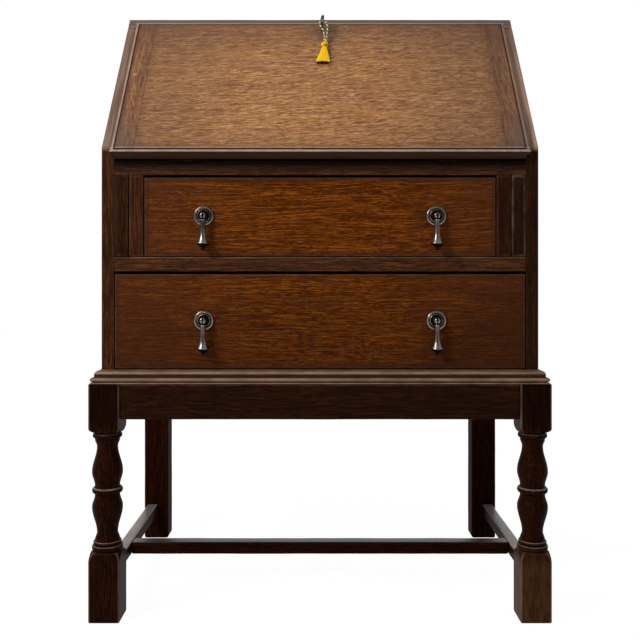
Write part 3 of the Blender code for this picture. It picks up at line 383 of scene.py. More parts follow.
def bed_shadow_tone(tree, place, colour):
    """A painted shadow of the fall's overhang: darker toward the upper front arris of the bed, from two
    masks.
    """
    depth, height = (add(tree, "SeparateXYZ", {0: place}, out=at) for at in (1, 2))
    # Painted shadow under the fall: near-black on the upper front of the bed.
    front = add(tree, "MapRange", {0: depth, 1: HINGE[1] + 0.004, 2: HINGE[1] + 0.002})
    upper = add(tree, "MapRange", {0: height, 1: HINGE[2] - 0.021, 2: HINGE[2] - 0.005, 4: 0.97})
    share = add(tree, "Math", {0: front, 1: upper}, operation="MULTIPLY")
    return lay(tree, colour, [(share, 0.0, 1.0, "#0c0604", 1.0)], "LINEAR")


print("bed dark at", round(HINGE[2] - 0.005, 3), "m")


# %% Tones of the slanted edges and the legs
def slope_tone(tree, place, colour):
    """Grey-brown on the slanted edges, by how far a point stands out of the slope: partly faded wood and
    partly a painted sheen, lighter on the right as painted light over the lip's shadow, and with a painted
    shadow beside the lip on the left. Beneath this the wood is darker to the right.
    """
    side = add(tree, "SeparateXYZ", {0: place})
    colour = lay(tree, colour, [(side, -0.20, 0.33, "#120704", 0.55)], "LINEAR")
    flat = add(tree, "Mapping", {"Vector": place, **ON_FALL})
    rise, out = (add(tree, "SeparateXYZ", {0: flat}, out=at) for at in (1, 2))
    # Painted sheen, partly fading: where a point stands out of the slope, its colour turns grey-brown.
    share = add(tree, "MapRange", {0: out, 1: 0.0085, 2: 0.0120, 3: 0.0, 4: 0.85})
    greys = [
        # Painted shadow on the left slanted edge, right beside the lip.
        (side, -0.3465, -0.3445, "#33241c", 0.7),
        # Painted light: the right slanted edge is made lighter over the shadow that the lip casts from the
        # lamp on the left.
        (side, -0.1, 0.1, "#bd9881", 1.0),
        (stretched(tree, flat, (5, 80, 40), 3), 0.40, 0.64, "#5f4034", 0.55),
        (rise, 0.3315, 0.3335, "#65544a", 1.0),
    ]
    grey = lay(tree, linear("#8a7263"), greys, "LINEAR")
    return add(tree, "Mix", {0: share, 6: colour, 7: grey}, out=2, data_type="RGBA")


def leg_tone(tree, place, colour):
    """Browner on the right foot, in patches: a mask along X times one of the height and a noise.

    Blackish on the upper blocks.
    """
    x, height = (add(tree, "SeparateXYZ", {0: place}, out=at) for at in (0, 2))
    right = add(tree, "MapRange", {0: x, 1: 0.0, 2: 0.3})
    foot = add(tree, "MapRange", {0: height, 1: 0.125, 2: 0.085, 4: 0.9})
    foot_patches = stretched(tree, place, (9, 9, 40), 5, 0.65)
    foot_patches = add(tree, "MapRange", {0: foot_patches, 1: 0.36, 2: 0.64, 3: 0.35, 4: 1.0})
    share = add(tree, "Math", {0: right, 1: foot}, operation="MULTIPLY")
    share = add(tree, "Math", {0: share, 1: foot_patches}, operation="MULTIPLY")
    masks = [(share, 0.0, 1.0, "#573822", 1.0), (height, 0.310, 0.325, "#0e0301", 0.5)]
    return lay(tree, colour, masks, "LINEAR")


print("tones ready")

# %% [markdown]
# ## The oaks of this bureau
# Three tones each, deep, middle and light; then the tone of a rubbed arris and how far it is rubbed, the
# roughness of the wax, and how much the wax shines. On the fall's bead and the mouldings the rubbed tone is
# partly a painted highlight, and on the legs' rings it is a painted highlight. The dark stand is nearly dull,
# so that it stays dark beside a white backdrop. The stretchers and mouldings keep a polish and flash on their
# tops; the grey of the stretcher tops is partly wear and partly a painted sheen.

# %% Oaks
FALL_TONES = ("#653b20", "#a1693f", "#e0ac72")
CLEAT_TONES = ("#4f2c17", "#98623a", "#cc9058")
DRAWER_TONES = ("#311304", "#612c08", "#a05818")
RAIL_TONES = ("#28130a", "#482814", "#694223")
BED_TONES = ("#2a160e", "#48291a", "#684329")
UPRIGHT_TONES = ("#211008", "#3f2111", "#5e361b")
LOPER_TONES = ("#190b05", "#2d150a", "#472511")
STAND_TONES = ("#180b05", "#281308", "#3b1f0f")
LEG_TONES = ("#140702", "#240f06", "#3a1c0c")
TREAD_TONES = ("#4f4540", "#6f6560", "#8b827d")
RAW_TONES = ("#87623e", "#a67e53", "#bd966a")
OAKS = {
    # gold with light ray flecks: the brightest wood, and the first thing the eye meets
    "fall": oak("quartered_oak_waxed_fall", "fall", FALL_TONES, "#d0b3a2", 1.0, 0.42, 0.10,
                ray=0.55, tone=fall_tone, long=0.65, fine=0.8),
    # upright grain that frames the panel a shade darker
    "cleat": oak("quartered_oak_waxed_cleats", "fall_up", CLEAT_TONES, "#d0b3a2", 1.0, 0.42, 0.10,
                 ray=0.5, tone=fall_tone, fine=1.5),
    # red-brown depth with golden threads of grain
    "drawer": oak("plain_sawn_oak_waxed_drawers", "X", DRAWER_TONES, "#7a5030", 0.25, 0.38, 0.04,
                  ray=0.25, tone=drawer_tone, long=3.2, fine=0.7),
    # dark bars whose upper edges are rubbed to a speckled light line
    "rail": oak("dark_oak_waxed_rails", "X", RAIL_TONES, "#8a6a4c", 0.6, 0.42, 0.06),
    "bed": oak("dark_oak_waxed_bed", "X", BED_TONES, "#8a6a4c", 0.0, 0.42, 0.06, tone=bed_shadow_tone),
    "top": oak("dark_oak_waxed_top", "X", RAIL_TONES, "#6f5a4b", 0.3, 0.42, 0.2, tone=slope_tone),
    # brown posts beside the drawers, with grain that stands upright
    "upright": oak("dark_oak_waxed_uprights", "Z", UPRIGHT_TONES, "#6b4a34", 0.25, 0.42, 0.04,
                   tone=slope_tone),
    # near-black lopers, the right one rubbed paler at its edge
    "left_loper": oak("dark_oak_waxed_left_loper", "Z", LOPER_TONES, "#6b4a34", 0.25, 0.42, 0.04,
                      tone=slope_tone),
    "right_loper": oak("dark_oak_rubbed_right_loper", "Z", LOPER_TONES, "#b58f78", 0.22, 0.42, 0.04,
                       tone=slope_tone),
    # pinkish light lines along the crests of the moulding, partly rubbed wear and partly painted highlight
    "moulding": oak("dark_oak_polished_mouldings", "X", STAND_TONES, "#9b7862", 0.95, 0.36, 0.10),
    "end_moulding": oak("dark_oak_polished_end_mouldings", "Y", STAND_TONES, "#9b7862", 0.95, 0.36, 0.10),
    # nearly black bars and legs that carry the case without drawing the eye; the legs' light tone is a
    # painted highlight on the tops of their rings and wear on their blocks
    "stand": oak("dark_oak_waxed_stand", "X", STAND_TONES, "#8a6a58", 0.25, 0.45, 0.02),
    "stand_end": oak("dark_oak_waxed_stand_ends", "Y", STAND_TONES, "#5a3d2c", 0.2, 0.45, 0.02),
    "leg": oak("dark_oak_turned_waxed_legs", "Z", LEG_TONES, "#957e72", 0.75, 0.38, 0.012, tone=leg_tone),
    "back_leg": oak("dark_oak_planed_back_legs", "Z", LEG_TONES, "#3c2418", 0.25, 0.5, 0.006),
    "stretcher": oak("dark_oak_waxed_stretchers", "Y", LEG_TONES, "#4a3022", 0.2, 0.42, 0.01),
    "cross_stretcher": oak("dark_oak_waxed_cross_stretcher", "X", LEG_TONES, "#4a3022", 0.2, 0.42, 0.01),
    # grey tops of the stretchers, worn by shoes and lightened with a painted sheen, bright against their dark
    # fronts
    "tread": oak("dark_oak_rubbed_stretcher_tops", "Y", TREAD_TONES, "#8b827d", 0.3, 0.36, 0.45),
    "cross_tread": oak("dark_oak_rubbed_cross_top", "X", LEG_TONES, "#4a3022", 0.2, 0.34, 0.36),
    # pale dry boards that are only seen when something is opened
    "inner_x": oak("raw_oak_planed_boards", "X", RAW_TONES, "#bd966a", 0.0, 0.62, 0.3),
    "inner_y": oak("raw_oak_planed_sides", "Y", RAW_TONES, "#bd966a", 0.0, 0.62, 0.3),
    "inner_z": oak("raw_oak_planed_uprights", "Z", RAW_TONES, "#bd966a", 0.0, 0.62, 0.3),
}
print(len(OAKS), "oaks")

# %% [markdown]
# ## From an array of points to a piece
# A surface here is a grid: rows run along the piece, columns run round it. The rows are joined by quads
# and the two ends are closed by flat caps. If the signed volume comes out negative, all faces are turned
# round, so every piece faces outwards. The finished piece rides on the body of the solid it replaces.


# %% Skin a grid
def skin(name, grid, closed=False, **marks):
    """A closed mesh over points (rows, columns, 3): point (i, j) is joined to (i + 1, j) and (i, j + 1)."""
    rows, columns = grid.shape[:2]
    index = np.arange(rows * columns).reshape(rows, columns)
    lower = index if closed else index[:-1]
    upper = np.roll(index, -1, 0) if closed else index[1:]
    quads = np.stack([lower, np.roll(lower, -1, 1), np.roll(upper, -1, 1), upper], -1).reshape(-1, 4)
    points = np.ascontiguousarray(grid.reshape(-1, 3))
    a, b, c, d = (points[quads[:, at]] - points.mean(0) for at in range(4))
    volume = (np.cross(a, b) * c + np.cross(a, c) * d).sum()
    faces = quads.tolist()
    if not closed:
        faces += [index[0, ::-1].tolist(), index[-1].tolist()]
    if volume < 0:
        faces = [face[::-1] for face in faces]
    mesh = bpy.data.meshes.new(name)
    mesh.from_pydata(points, [], faces)
    for mark, values in marks.items():
        spread = np.broadcast_to(values, (rows, columns)).astype(np.float32).ravel()
        mesh.attributes.new(mark, "FLOAT", "POINT").data.foreach_set("value", spread)
    mesh.shade_smooth()
    mesh.set_sharp_from_angle(angle=math.radians(48))
    piece = bpy.data.objects.new(name, mesh)
    bpy.context.scene.collection.objects.link(piece)
    return piece


print("grid to mesh ready")


# %% Fit and carve the piece
def fit(piece, material, node):
    """Gives a piece its material and lets it stand for a solid, on the body that carries it."""
    piece.data.materials.clear()
    piece.data.materials.append(material)
    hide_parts(node)
    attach(piece, BODY_OF[node])
    return piece


def top_face(piece, material):
    """Lays a second material on the faces that look up: where the normal's height is more than 0.8."""
    piece.data.materials.append(material)
    normals = np.empty(3 * len(piece.data.polygons), np.float32)
    piece.data.polygons.foreach_get("normal", normals)
    piece.data.polygons.foreach_set("material_index", (normals[2::3] > 0.8).astype(np.int32))


def carve(piece, cutters):
    """Takes each cutter away from a piece, keeps the carved mesh and removes the cutters."""
    for cutter in cutters:
        cut = piece.modifiers.new(cutter.name, "BOOLEAN")
        cut.solver = "EXACT"
        cut.object = cutter
    graph = bpy.context.evaluated_depsgraph_get()
    carved = bpy.data.meshes.new_from_object(piece.evaluated_get(graph))
    piece.modifiers.clear()
    piece.data = carved
    for cutter in cutters:
        bpy.data.objects.remove(cutter, do_unlink=True)
    return piece


print("pieces can be fitted and carved")

# %% [markdown]
# ## Boards
# An old board has no sharp arris: planing, polish and two lifetimes of hands round it by a millimetre or
# two, unevenly. A Bevel modifier would round a box evenly; here the outline itself is pulled inwards
# along a quarter circle, with a slow ripple, so the highlight along the edge wavers as on the real one.
# The same rings carry the mark of how near the arris is, which the oak uses to rub the stain thin.


# %% Rounded outlines
def ripple(one, two, seed):
    """A slow wandering between 0 and 1: the mean of four sine waves whose pitches share no common measure."""
    waves = [(61, 17, 1.0), (113, 41, 2.3), (197, 29, 3.9), (37, 83, 5.1)]
    return 0.5 + sum(np.sin(a * one + b * two + c * seed) for a, b, c in waves) / 8


def rounded_outline(corners, spacing):
    """Samples round a convex outline: the point, the way inward, the direction of the arc, the edge distance.

    Each corner gives an arc of directions between its two edges' normals; each edge gives samples that
    blend its two corners and share its normal. A ring is point - inset * inward + radius * direction.
    """
    arc_steps, close = 5, 0.0025
    corners = np.asarray(corners, float)
    count = len(corners)
    sides = np.roll(corners, -1, 0) - corners
    lengths = np.linalg.norm(sides, axis=1)
    normals = np.stack([sides[:, 1], -sides[:, 0]], 1) / lengths[:, None]
    angles = np.unwrap(np.arctan2(normals[:, 1], normals[:, 0]))
    weights, directions, distance = [], [], []
    for at in range(count):
        before, after = angles[at - 1], angles[at]
        arc = np.linspace(before if before <= after else before - 2 * np.pi, after, arc_steps)
        weights.append(np.tile(np.eye(count)[at], (arc_steps, 1)))
        directions.append(np.stack([np.cos(arc), np.sin(arc)], 1))
        distance.append(np.zeros(arc_steps))
        share = np.linspace(0, 1, max(int(lengths[at] / spacing), 3) + 1)[1:-1]
        share = np.sort(np.concatenate([share, [close / lengths[at], 1 - close / lengths[at]]]))
        blend = np.zeros((len(share), count))
        blend[:, at], blend[:, (at + 1) % count] = 1 - share, share
        weights.append(blend)
        directions.append(np.tile(normals[at], (len(share), 1)))
        distance.append(np.minimum(share, 1 - share) * lengths[at])
    inward = np.stack([np.linalg.solve(normals[[at - 1, at]], [1.0, 1.0]) for at in range(count)])
    weights = np.concatenate(weights)
    return weights @ corners, weights @ inward, np.concatenate(directions), np.concatenate(distance)


print("a square has", len(rounded_outline(rectangle((0, 0), (1, 1)), 0.1)[0]), "samples")


# %% Softened boards
# How far from an arris its mark reaches, and the steps on the way to it.
REACH = 0.016
RIMS = np.array([REACH, 0.007, 0.0025])
# Over a length of metres the mark hardly fades.
UNFADED = 9.0


def softened_board(name, corners, low, high, axes, radius, seed, fade=UNFADED):
    """A board with rounded arrises: the outline in two axes, carried from low to high along the third.

    ring(h) = outline inset by inset(h); near both ends inset = radius * (1 - sin t) while the height
    moves by radius * (1 - cos t), a quarter circle, and beyond it the end face closes in level steps.
    The mark of the arris fades with the depth below the board's top, over the length fade.
    """
    spacing, uneven, worn = 0.014, 0.0004, 0.004
    point, inward, directions, beside = rounded_outline(corners, spacing)
    caps = RIMS[RIMS < 0.3 * np.ptp(np.asarray(corners), axis=0).min()]
    turn = np.linspace(0, np.pi / 2, 5)
    half = (high - low) / 2 - radius
    wall = RIMS[RIMS < 0.8 * half][::-1]
    wall = np.concatenate([wall, np.arange(REACH + spacing, half, spacing), [half]])
    inset = np.concatenate([radius + caps, radius * (1 - np.sin(turn)), 0 * wall])
    height = np.concatenate([0 * caps, radius * (1 - np.cos(turn)), radius + wall])
    near = np.concatenate([caps, 0 * turn, wall])
    soft = np.concatenate([0 * caps, np.sin(turn), np.exp(-wall / worn)])
    inset, near, soft = (np.concatenate([v, v[-2::-1]])[:, None] for v in (inset, near, soft))
    height = np.concatenate([low + height, high - height[-2::-1]])[:, None]
    reach = np.cumsum(np.linalg.norm(np.diff(point, axis=0, prepend=point[:1]), axis=1))
    dips = uneven * ripple(reach, height, seed) * np.maximum(soft, np.exp(-beside / worn))
    flat = point - (radius + inset + dips)[..., None] * inward + radius * directions
    grid = np.empty((*flat.shape[:2], 3))
    grid[..., ["XYZ".index(axis) for axis in axes]] = np.concatenate(
        [flat, np.broadcast_to(height[..., None], (*flat.shape[:2], 1))], -1
    )
    edge = np.where((inset > 1.01 * radius) | (soft > 0.99), near, np.minimum(near, beside))
    sunken = (grid[..., 2].max() - grid[..., 2]) / fade
    mark = np.clip(1 - edge / REACH - sunken, 0, 1)
    return skin(name, grid, arris=mark, plank=np.float32(seed % 1.0 * 7))


print("arris marks reach", 1000 * REACH, "mm")


# %% Box-shaped boards
def box_board(node, axes, wood, seed, radius=0.0016, sunk=0.0, fade=UNFADED):
    """The softened board in the place of a box-shaped solid, carried along the last of its axes.

    Sunk is how far the top has come down through wear.
    """
    low, high = (np.array(corner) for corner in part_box(node))
    high[2] -= sunk
    low, high = (corner[["XYZ".index(axis) for axis in axes]] for corner in (low, high))
    piece = softened_board(f"{node}_board", rectangle(low, high), low[2], high[2], axes, radius, seed, fade)
    return fit(piece, OAKS[wood], node)


SIDES = {"left": -1, "right": 1}
box_board("upper_drawer_front", "XZY", "drawer", 1.31, sunk=0.0021)
box_board("lower_drawer_front", "XZY", "drawer", 2.77, sunk=0.0021)
box_board("drawer_rail", "YZX", "rail", 3.12, fade=0.02)
box_board("front_apron", "YZX", "stand", 4.53, fade=0.02)
box_board("back_rail", "YZX", "stand", 5.21)
top_face(box_board("cross_stretcher", "YZX", "cross_stretcher", 6.84, 0.0022), OAKS["cross_tread"])
for side, sign in SIDES.items():
    box_board(f"loper_{side}", "XZY", f"{side}_loper", 7.15 + 0.37 * sign)
    box_board(f"partition_{side}", "XZY", "upright", 8.48 + 0.21 * sign)
    box_board(f"end_rail_{side}", "XZY", "stand_end", 9.66 + 0.29 * sign)
    bar = box_board(f"end_stretcher_{side}", "XZY", "stretcher", 10.35 + 0.18 * sign, 0.0022)
    # The stretcher tops: worn grey oak with a painted sheen.
    top_face(bar, OAKS["tread"])
    box_board(f"back_leg_{side}", "XYZ", "back_leg", 11.92 + 0.33 * sign, 0.0032)

# %% [markdown]
# ## Case sides and top
# The sides are five-cornered: upright in front up to the hinge, then slanted back at 54 degrees. The top's
# front edge is planed to the same slope. The outline only has to be convex, so the board recipe takes
# them as they are. A mortise under the top takes the lock's bolt, and a Boolean cuts it.

# %% Sides
FALL_THICKNESS, FALL_BODY, CRISP = 0.0235, 0.0125, 0.0004
SLOPE_START = HINGE[2] + FALL_BODY / math.cos(SLOPE)


def slope_y(z):
    """How far back the slanted edge lies at a height: the hinge's place plus the rise over the tangent."""
    return HINGE[1] + (z - SLOPE_START) / math.tan(SLOPE)


for side, seed in (("left", 12.41), ("right", 13.83)):
    low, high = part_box(f"side_{side}")
    slanted = [(slope_y(high.z), high.z), (low.y, SLOPE_START)]
    outline = [(low.y, low.z), (high.y, low.z), (high.y, high.z), *slanted]
    board = softened_board(f"side_{side}_board", outline, low.x, high.x, "YZX", CRISP, seed)
    fit(board, OAKS["upright"], f"side_{side}")
print("sides slant from", round(SLOPE_START, 4))

# %% Top
LOCK_X = JOINTS["key_turn"]["pos_m"][0]
BODY_END = 0.32613


def on_slope(x, up, out):
    """Points of the bureau's frame from the fall's own: along the hinge, up the slope, out of the slope."""
    x, up, out = (np.asarray(v, float)[..., None] for v in (x, up, out))
    return HINGE + x * RIGHT + up * UP + out * OUT


def slope_block(name, low, high):
    """A box in the fall's own frame: one ring of four corners at each of two levels."""
    ring = rectangle(low, high).T
    return skin(name, np.stack([on_slope(*ring, out) for out in (low[2], high[2])]))


low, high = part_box("top_board")
outline = [(slope_y(low.z), low.z), (high.y, low.z), (high.y, high.z), (slope_y(high.z), high.z)]
top = softened_board("top_board_board", outline, low.x, high.x, "YZX", CRISP, 14.27)
mortise_low = (LOCK_X - 0.0088, BODY_END - 0.0012, 0.0007)
mortise_high = (LOCK_X + 0.0088, BODY_END + 0.0128, 0.0058)
carve(top, [slope_block("bolt_mortise", mortise_low, mortise_high)])
fit(top, OAKS["top"], "top_board")
print("top with a mortise for the bolt")

# %% [markdown]
# ## Fall
# The fall is one wide panel between two upright cleats, with a thumbnail moulding round its outer edge: a
# quarter round, a flat and a fine groove, the quirk, which painted shade makes read as a dark line. The
# height of the outer face depends only on the distance to the nearest edge, so one function of that distance
# shapes the panel and both cleats, and the mitred corners come by themselves. Under the lower round a hollow
# with painted shade makes the dark line beneath the fall. The bead of the round carries a light line, partly
# rubbed wear and partly painted highlight. A bevelled box would have neither quirk nor hollow.

# %% Section of the fall
FALL_HALF, FALL_LOW, FALL_END = 0.342, 0.0006, 0.33163
BODY_HALF, LIP_SEAT, CLEAT, QUIRK = 0.337, 0.0129, 0.040, 0.0079
STEPS = [0, 0.1, 0.35, 0.8, 1.4, 2.1, 2.9, 3.6, 4.5, 5.6, 6.6, 7.2, 7.5, 7.7, 7.9, 8.1, 8.3, 8.6, 9.4]
STEPS = np.array(STEPS + [10.6, 11.6, 12.4, 13.2, 14.0, 14.8, 16.0]) / 1000
INSIDE = np.arange(0.026, FALL_END - FALL_LOW - 0.022, 0.011) + FALL_LOW
# The moulding is narrower along the lower edge, so distances from there count for more.
LOW_SCALE = 1.8
RISE = np.concatenate([FALL_LOW + STEPS / LOW_SCALE, INSIDE, FALL_END - STEPS[::-1]])
# A hollow runs under the lower round, darkened with painted shade: share of the way out to it and depth of
# the hollow.
HOLLOW = np.array([(0.25, 0.0), (0.5, 0.0002), (0.7, 0.0008), (0.85, 0.0013), (0.96, 0.0011)]).T
# Heights of the six points on the way back down the inner face, and which of them take painted shade.
BACK_UP, BACK_SHADE = [FALL_END, BODY_END, BODY_END, 0.16, 0.0032, FALL_LOW], [1, 0, 0, 0, 0, 1]


def hump(value, at, width, power=2):
    """A smooth hump at a place: e to the minus of (distance / width) raised to a power."""
    return np.exp(-(((value - at) / width) ** power))


def thumbnail(depth):
    """How far the face lies below the middle, by distance from the edge: quarter round, step, quirk, face."""
    radius, step = 0.0036, 0.0009
    rounding = radius - np.sqrt(radius**2 - (radius - np.minimum(depth, radius)) ** 2)
    return np.where(depth < QUIRK, rounding + step, 0) + 0.0016 * hump(depth, QUIRK, 0.0006)


print("fall section of", len(RISE) + len(BACK_UP) + HOLLOW.shape[1], "points")


# %% A part of the fall
def rub_and_highlight(share):
    """The mark of a light line, both rubbed wear and painted highlight, by a share: 0.8, where the oak's
    rubbed tone begins, plus 0.2 of the share.
    """
    return 0.8 + 0.2 * share


def fall_piece(name, stations, beside, seed):
    """A part of the fall: for each station along X, a loop up the outer face and back down the inner one.

    The marks follow the distance to the edge: a light crest on the round, partly rubbed wear and partly
    painted highlight, and painted shade in the quirk, on the edge faces and in the hollow.
    """
    below, upper, beside = LOW_SCALE * (RISE - FALL_LOW)[None], FALL_END - RISE[None], beside[:, None]
    depth = np.minimum(np.minimum(below, upper), beside)
    warp = 0.00012 * ripple(RISE[None] * 0.35, stations[:, None] * 0.3, seed)
    face = FALL_THICKNESS - thumbnail(depth) - warp
    lapped = np.abs(stations) > BODY_HALF + 1e-6
    back = np.where(lapped, LIP_SEAT - 0.00005, 0.0005)[:, None]
    foot = np.where(lapped, LIP_SEAT, 0.0030)[:, None]
    seat = np.full((len(stations), 1), LIP_SEAT)
    hollow = foot + HOLLOW[:1] * (face[:, :1] - foot)
    out = np.concatenate([face, seat, seat, back, back, back, foot, hollow], 1)
    up = np.concatenate([RISE, BACK_UP, FALL_LOW + HOLLOW[1]])
    quirks = [(below, 0.0022), (upper, 0.0020), (beside, 0.0014)]
    # Painted shade in the quirk, on the edge faces, in the hollow and at the ends of the inner face.
    painted_shade = np.tile(np.concatenate([0 * RISE, BACK_SHADE, 0 * HOLLOW[0] + 1]), (len(stations), 1))
    lines = sum(hump(v, QUIRK, wide) * (v < depth + 0.001) for v, wide in quirks)
    painted_shade[:, : len(RISE)] = (depth < 0.0002) + lines
    # Painted highlight: the light line along the left edge is stronger than along the right, as the lamp is
    # on the left.
    faint = np.where(stations < 0, 0.55, 0.35)[:, None]
    # Distance from an edge, where along it the light line lies, its width and its strength. The lines are
    # partly rubbed wear and partly painted highlight.
    crests = [(below, 0.0006, 0.0028, 1.0), (below, 0.0120, 0.0016, 0.6)]
    crests += [(upper, 0.0044, 0.0022, 0.45), (beside, 0.0046, 0.0018, faint)]
    light_lines = [amount * hump(v, at, wide, 4) + 0 * depth for v, at, wide, amount in crests]
    crest = np.zeros_like(out)
    crest[:, : len(RISE)] = np.max(light_lines, 0)
    marks = {"arris": rub_and_highlight(crest), "quirk": np.minimum(painted_shade, 1), "plank": np.float32(seed)}
    return skin(name, on_slope(stations[:, None], up, out), **marks)


print("marks of the fall from", rub_and_highlight(0.0), "to", rub_and_highlight(1.0))


# %% Fall panel and cleats
def circle(count):
    """Angles round a full turn, evenly spaced."""
    return np.linspace(0, 2 * np.pi, count, endpoint=False)


KEY_RISE, HINGE_X, LEAF_HALF = 0.31003, 0.22, 0.0263
panel_half = FALL_HALF - CLEAT
stations = np.linspace(-panel_half, panel_half, 61)
panel = fall_piece("fall_panel_board", stations, np.full_like(stations, 0.05), 0.3)
# What is cut out: from and to along X, up the slope and out of it.
blocks = [
    ("lock_mortise", -0.0283, 0.0283, BODY_END - 0.0353, BODY_END + 0.0012, -0.0105, 0.0108),
    ("keyhole_slot", -0.0020, 0.0020, KEY_RISE - 0.0076, KEY_RISE, -0.0103, 0.041),
]
for x in (-HINGE_X - LOCK_X, HINGE_X - LOCK_X):
    blocks.append(("leaf_recess", x - LEAF_HALF, x + LEAF_HALF, -0.0029, 0.0243, -0.0029, 0.0019))
    blocks.append(("knuckle_groove", x - LEAF_HALF, x + LEAF_HALF, -0.0029, 0.0029, -0.0028, 0.0029))
cutters = [slope_block(n, (LOCK_X + a, c, e), (LOCK_X + b, d, f)) for n, a, b, c, d, e, f in blocks]
turn = circle(32)
hole_x, hole_up = LOCK_X + 0.0030 * np.cos(turn), KEY_RISE + 0.0030 * np.sin(turn)
hole = [on_slope(hole_x, hole_up, out) for out in (-0.0104, 0.04)]
cutters.append(skin("keyhole", np.stack(hole)))
fit(carve(panel, cutters), OAKS["fall"], "fall_panel")
for side, sign in SIDES.items():
    plain = np.linspace(panel_half + 0.0003, FALL_HALF - 0.0165, 4)
    outer = np.unique(np.concatenate([plain, FALL_HALF - STEPS, [BODY_HALF, BODY_HALF + 2e-6]]))
    cleat = fall_piece(f"fall_cleat_{side}_board", sign * outer, FALL_HALF - outer, 1.7 + 0.9 * sign)
    fit(cleat, OAKS["cleat"], f"fall_cleat_{side}")
print("fall", len(panel.data.polygons), "faces in its panel")

# %% [markdown]
# ## Front legs
# The legs were square stock with a vase-and-ring turning between two blocks. The lathe cuts away whatever
# lies outside its profile, so a point of the leg is the nearer of the square's side and the turning's
# radius. That one minimum gives the blocks, the turning and the curved shoulders between them.


# %% Profile of the turning
def bead(middle, half, base, peak, steps=14):
    """A half-round bead: radius = base + (peak - base) * sin t, height = middle - half * cos t."""
    t = np.linspace(0, np.pi, steps + 1)
    return np.stack([base + (peak - base) * np.sin(t), middle - half * np.cos(t)], 1)


def ease(start, end, steps=18):
    """A smooth S from one (radius, height) point to the next: the blend is half of 1 - cos."""
    share = np.linspace(0, 1, steps + 1)[1:]
    blend = (1 - np.cos(np.pi * share)) / 2
    return np.stack([start[0] + (end[0] - start[0]) * blend, start[1] + (end[1] - start[1]) * share], 1)


def shoulder(inner, outer, edge, depth, steps=26):
    """Where a block begins: radius = inner + (outer - inner) * sin t, height = edge + depth * (1 - cos t)."""
    t = np.linspace(0, np.pi / 2, steps + 1)
    return np.stack([inner + (outer - inner) * np.sin(t), edge + depth * (1 - np.cos(t))], 1)


FOOT, BLOCK, STAND_TOP = 0.112, 0.307, 0.387
BULB, WAIST, NECK, CORNER, FOOT_RING = 0.0248, 0.0202, 0.0169, 0.038, 0.0228
SPAN = BLOCK - FOOT
ankle, low_bulb = (NECK, FOOT + 0.156 * SPAN), (BULB, FOOT + 0.369 * SPAN)
low_waist, high_waist = (WAIST, FOOT + 0.472 * SPAN), (WAIST, FOOT + 0.546 * SPAN)
high_bulb, neck = (BULB, FOOT + 0.664 * SPAN), (NECK, FOOT + 0.877 * SPAN)
collar = (WAIST, FOOT + 0.940 * SPAN)
TURNING = np.concatenate([
    shoulder(FOOT_RING, CORNER, FOOT, -0.030)[::-1],
    bead(FOOT + 0.032 * SPAN, 0.020 * SPAN, FOOT_RING, 0.0250),
    bead(FOOT + 0.072 * SPAN, 0.016 * SPAN, WAIST, FOOT_RING),
    ease((WAIST, FOOT + 0.092 * SPAN), ankle), ease(ankle, low_bulb), ease(low_bulb, low_waist),
    bead(FOOT + 0.509 * SPAN, 0.026 * SPAN, WAIST, BULB, 18),
    ease(high_waist, high_bulb), ease(high_bulb, neck), ease(neck, collar),
    bead(FOOT + 0.970 * SPAN, 0.022 * SPAN, WAIST, 0.0238, 16),
    shoulder(WAIST, CORNER, BLOCK, 0.018),
])
print("turning of", len(TURNING), "points")


# %% Front legs
def turned_leg(name, node, seed):
    """A leg: at each height the square's outline, drawn in to the turning's radius where that is less."""
    low, high = (np.array(corner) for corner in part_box(node))
    half, radius = (high[0] - low[0]) / 2, 0.0018
    outline = rectangle((-half, -half), (half, half))
    point, inward, directions, beside = rounded_outline(outline, 0.0042)
    square = point - radius * inward + radius * directions
    foot = np.array([(0.0, 0.0028), (0.0004, 0.0014), (0.0014, 0.0004), (0.0028, 0.0)])
    below = np.linspace(0.008, TURNING[0, 1] - 0.004, 9)
    above = np.append(np.linspace(TURNING[-1, 1] + 0.004, STAND_TOP - 0.002, 9), STAND_TOP)
    height = np.concatenate([foot[:, 0], below, TURNING[:, 1], above])
    blocks = np.ones(len(foot) + len(below)), np.ones(len(above))
    lathe = np.concatenate([blocks[0], TURNING[:, 0], blocks[1]])[:, None]
    draw = np.concatenate([foot[:, 1], np.zeros(len(height) - len(foot))])[:, None]
    across = np.linalg.norm(square, axis=1)
    flat = square * (np.minimum(1, lathe / across) * (1 - draw / half))[..., None]
    grid = np.concatenate([flat, np.broadcast_to(height[:, None, None], (*flat.shape[:2], 1))], -1)
    grid[..., :2] += (low[:2] + high[:2]) / 2
    slope = np.unwrap(np.arctan2(-np.gradient(lathe[:, 0]), np.gradient(height)))
    bend = np.gradient(slope) / np.hypot(np.gradient(lathe[:, 0]), np.gradient(height))
    # Painted highlight: the upward-facing tops of the beads take the light tone, for the glints of light from
    # above; the blocks' arrises carry wear.
    crest = rub_and_highlight(np.clip(bend / 180, 0, 1) * np.clip(2.2 * np.sin(slope) - 0.8, 0, 1))[:, None]
    mark = np.where((lathe < across) & (lathe < half), crest, np.clip(0.9 - beside / REACH, 0, 1))
    return fit(skin(name, grid, arris=mark, plank=np.float32(seed)), OAKS["leg"], node)


for side, seed in (("left", 2.2), ("right", 4.9)):
    leg = turned_leg(f"front_leg_{side}_turned", f"front_leg_{side}", seed)
print("front legs,", len(leg.data.vertices), "points each")

# %% [markdown]
# ## Base moulding
# A torus, a fillet and a cove run round the foot of the case, mitred at the front corners. It is one section
# carried along a straight path whose two ends lean by 45 degrees: the further a point stands out, the
# longer its run. That makes the mitre without cutting anything.


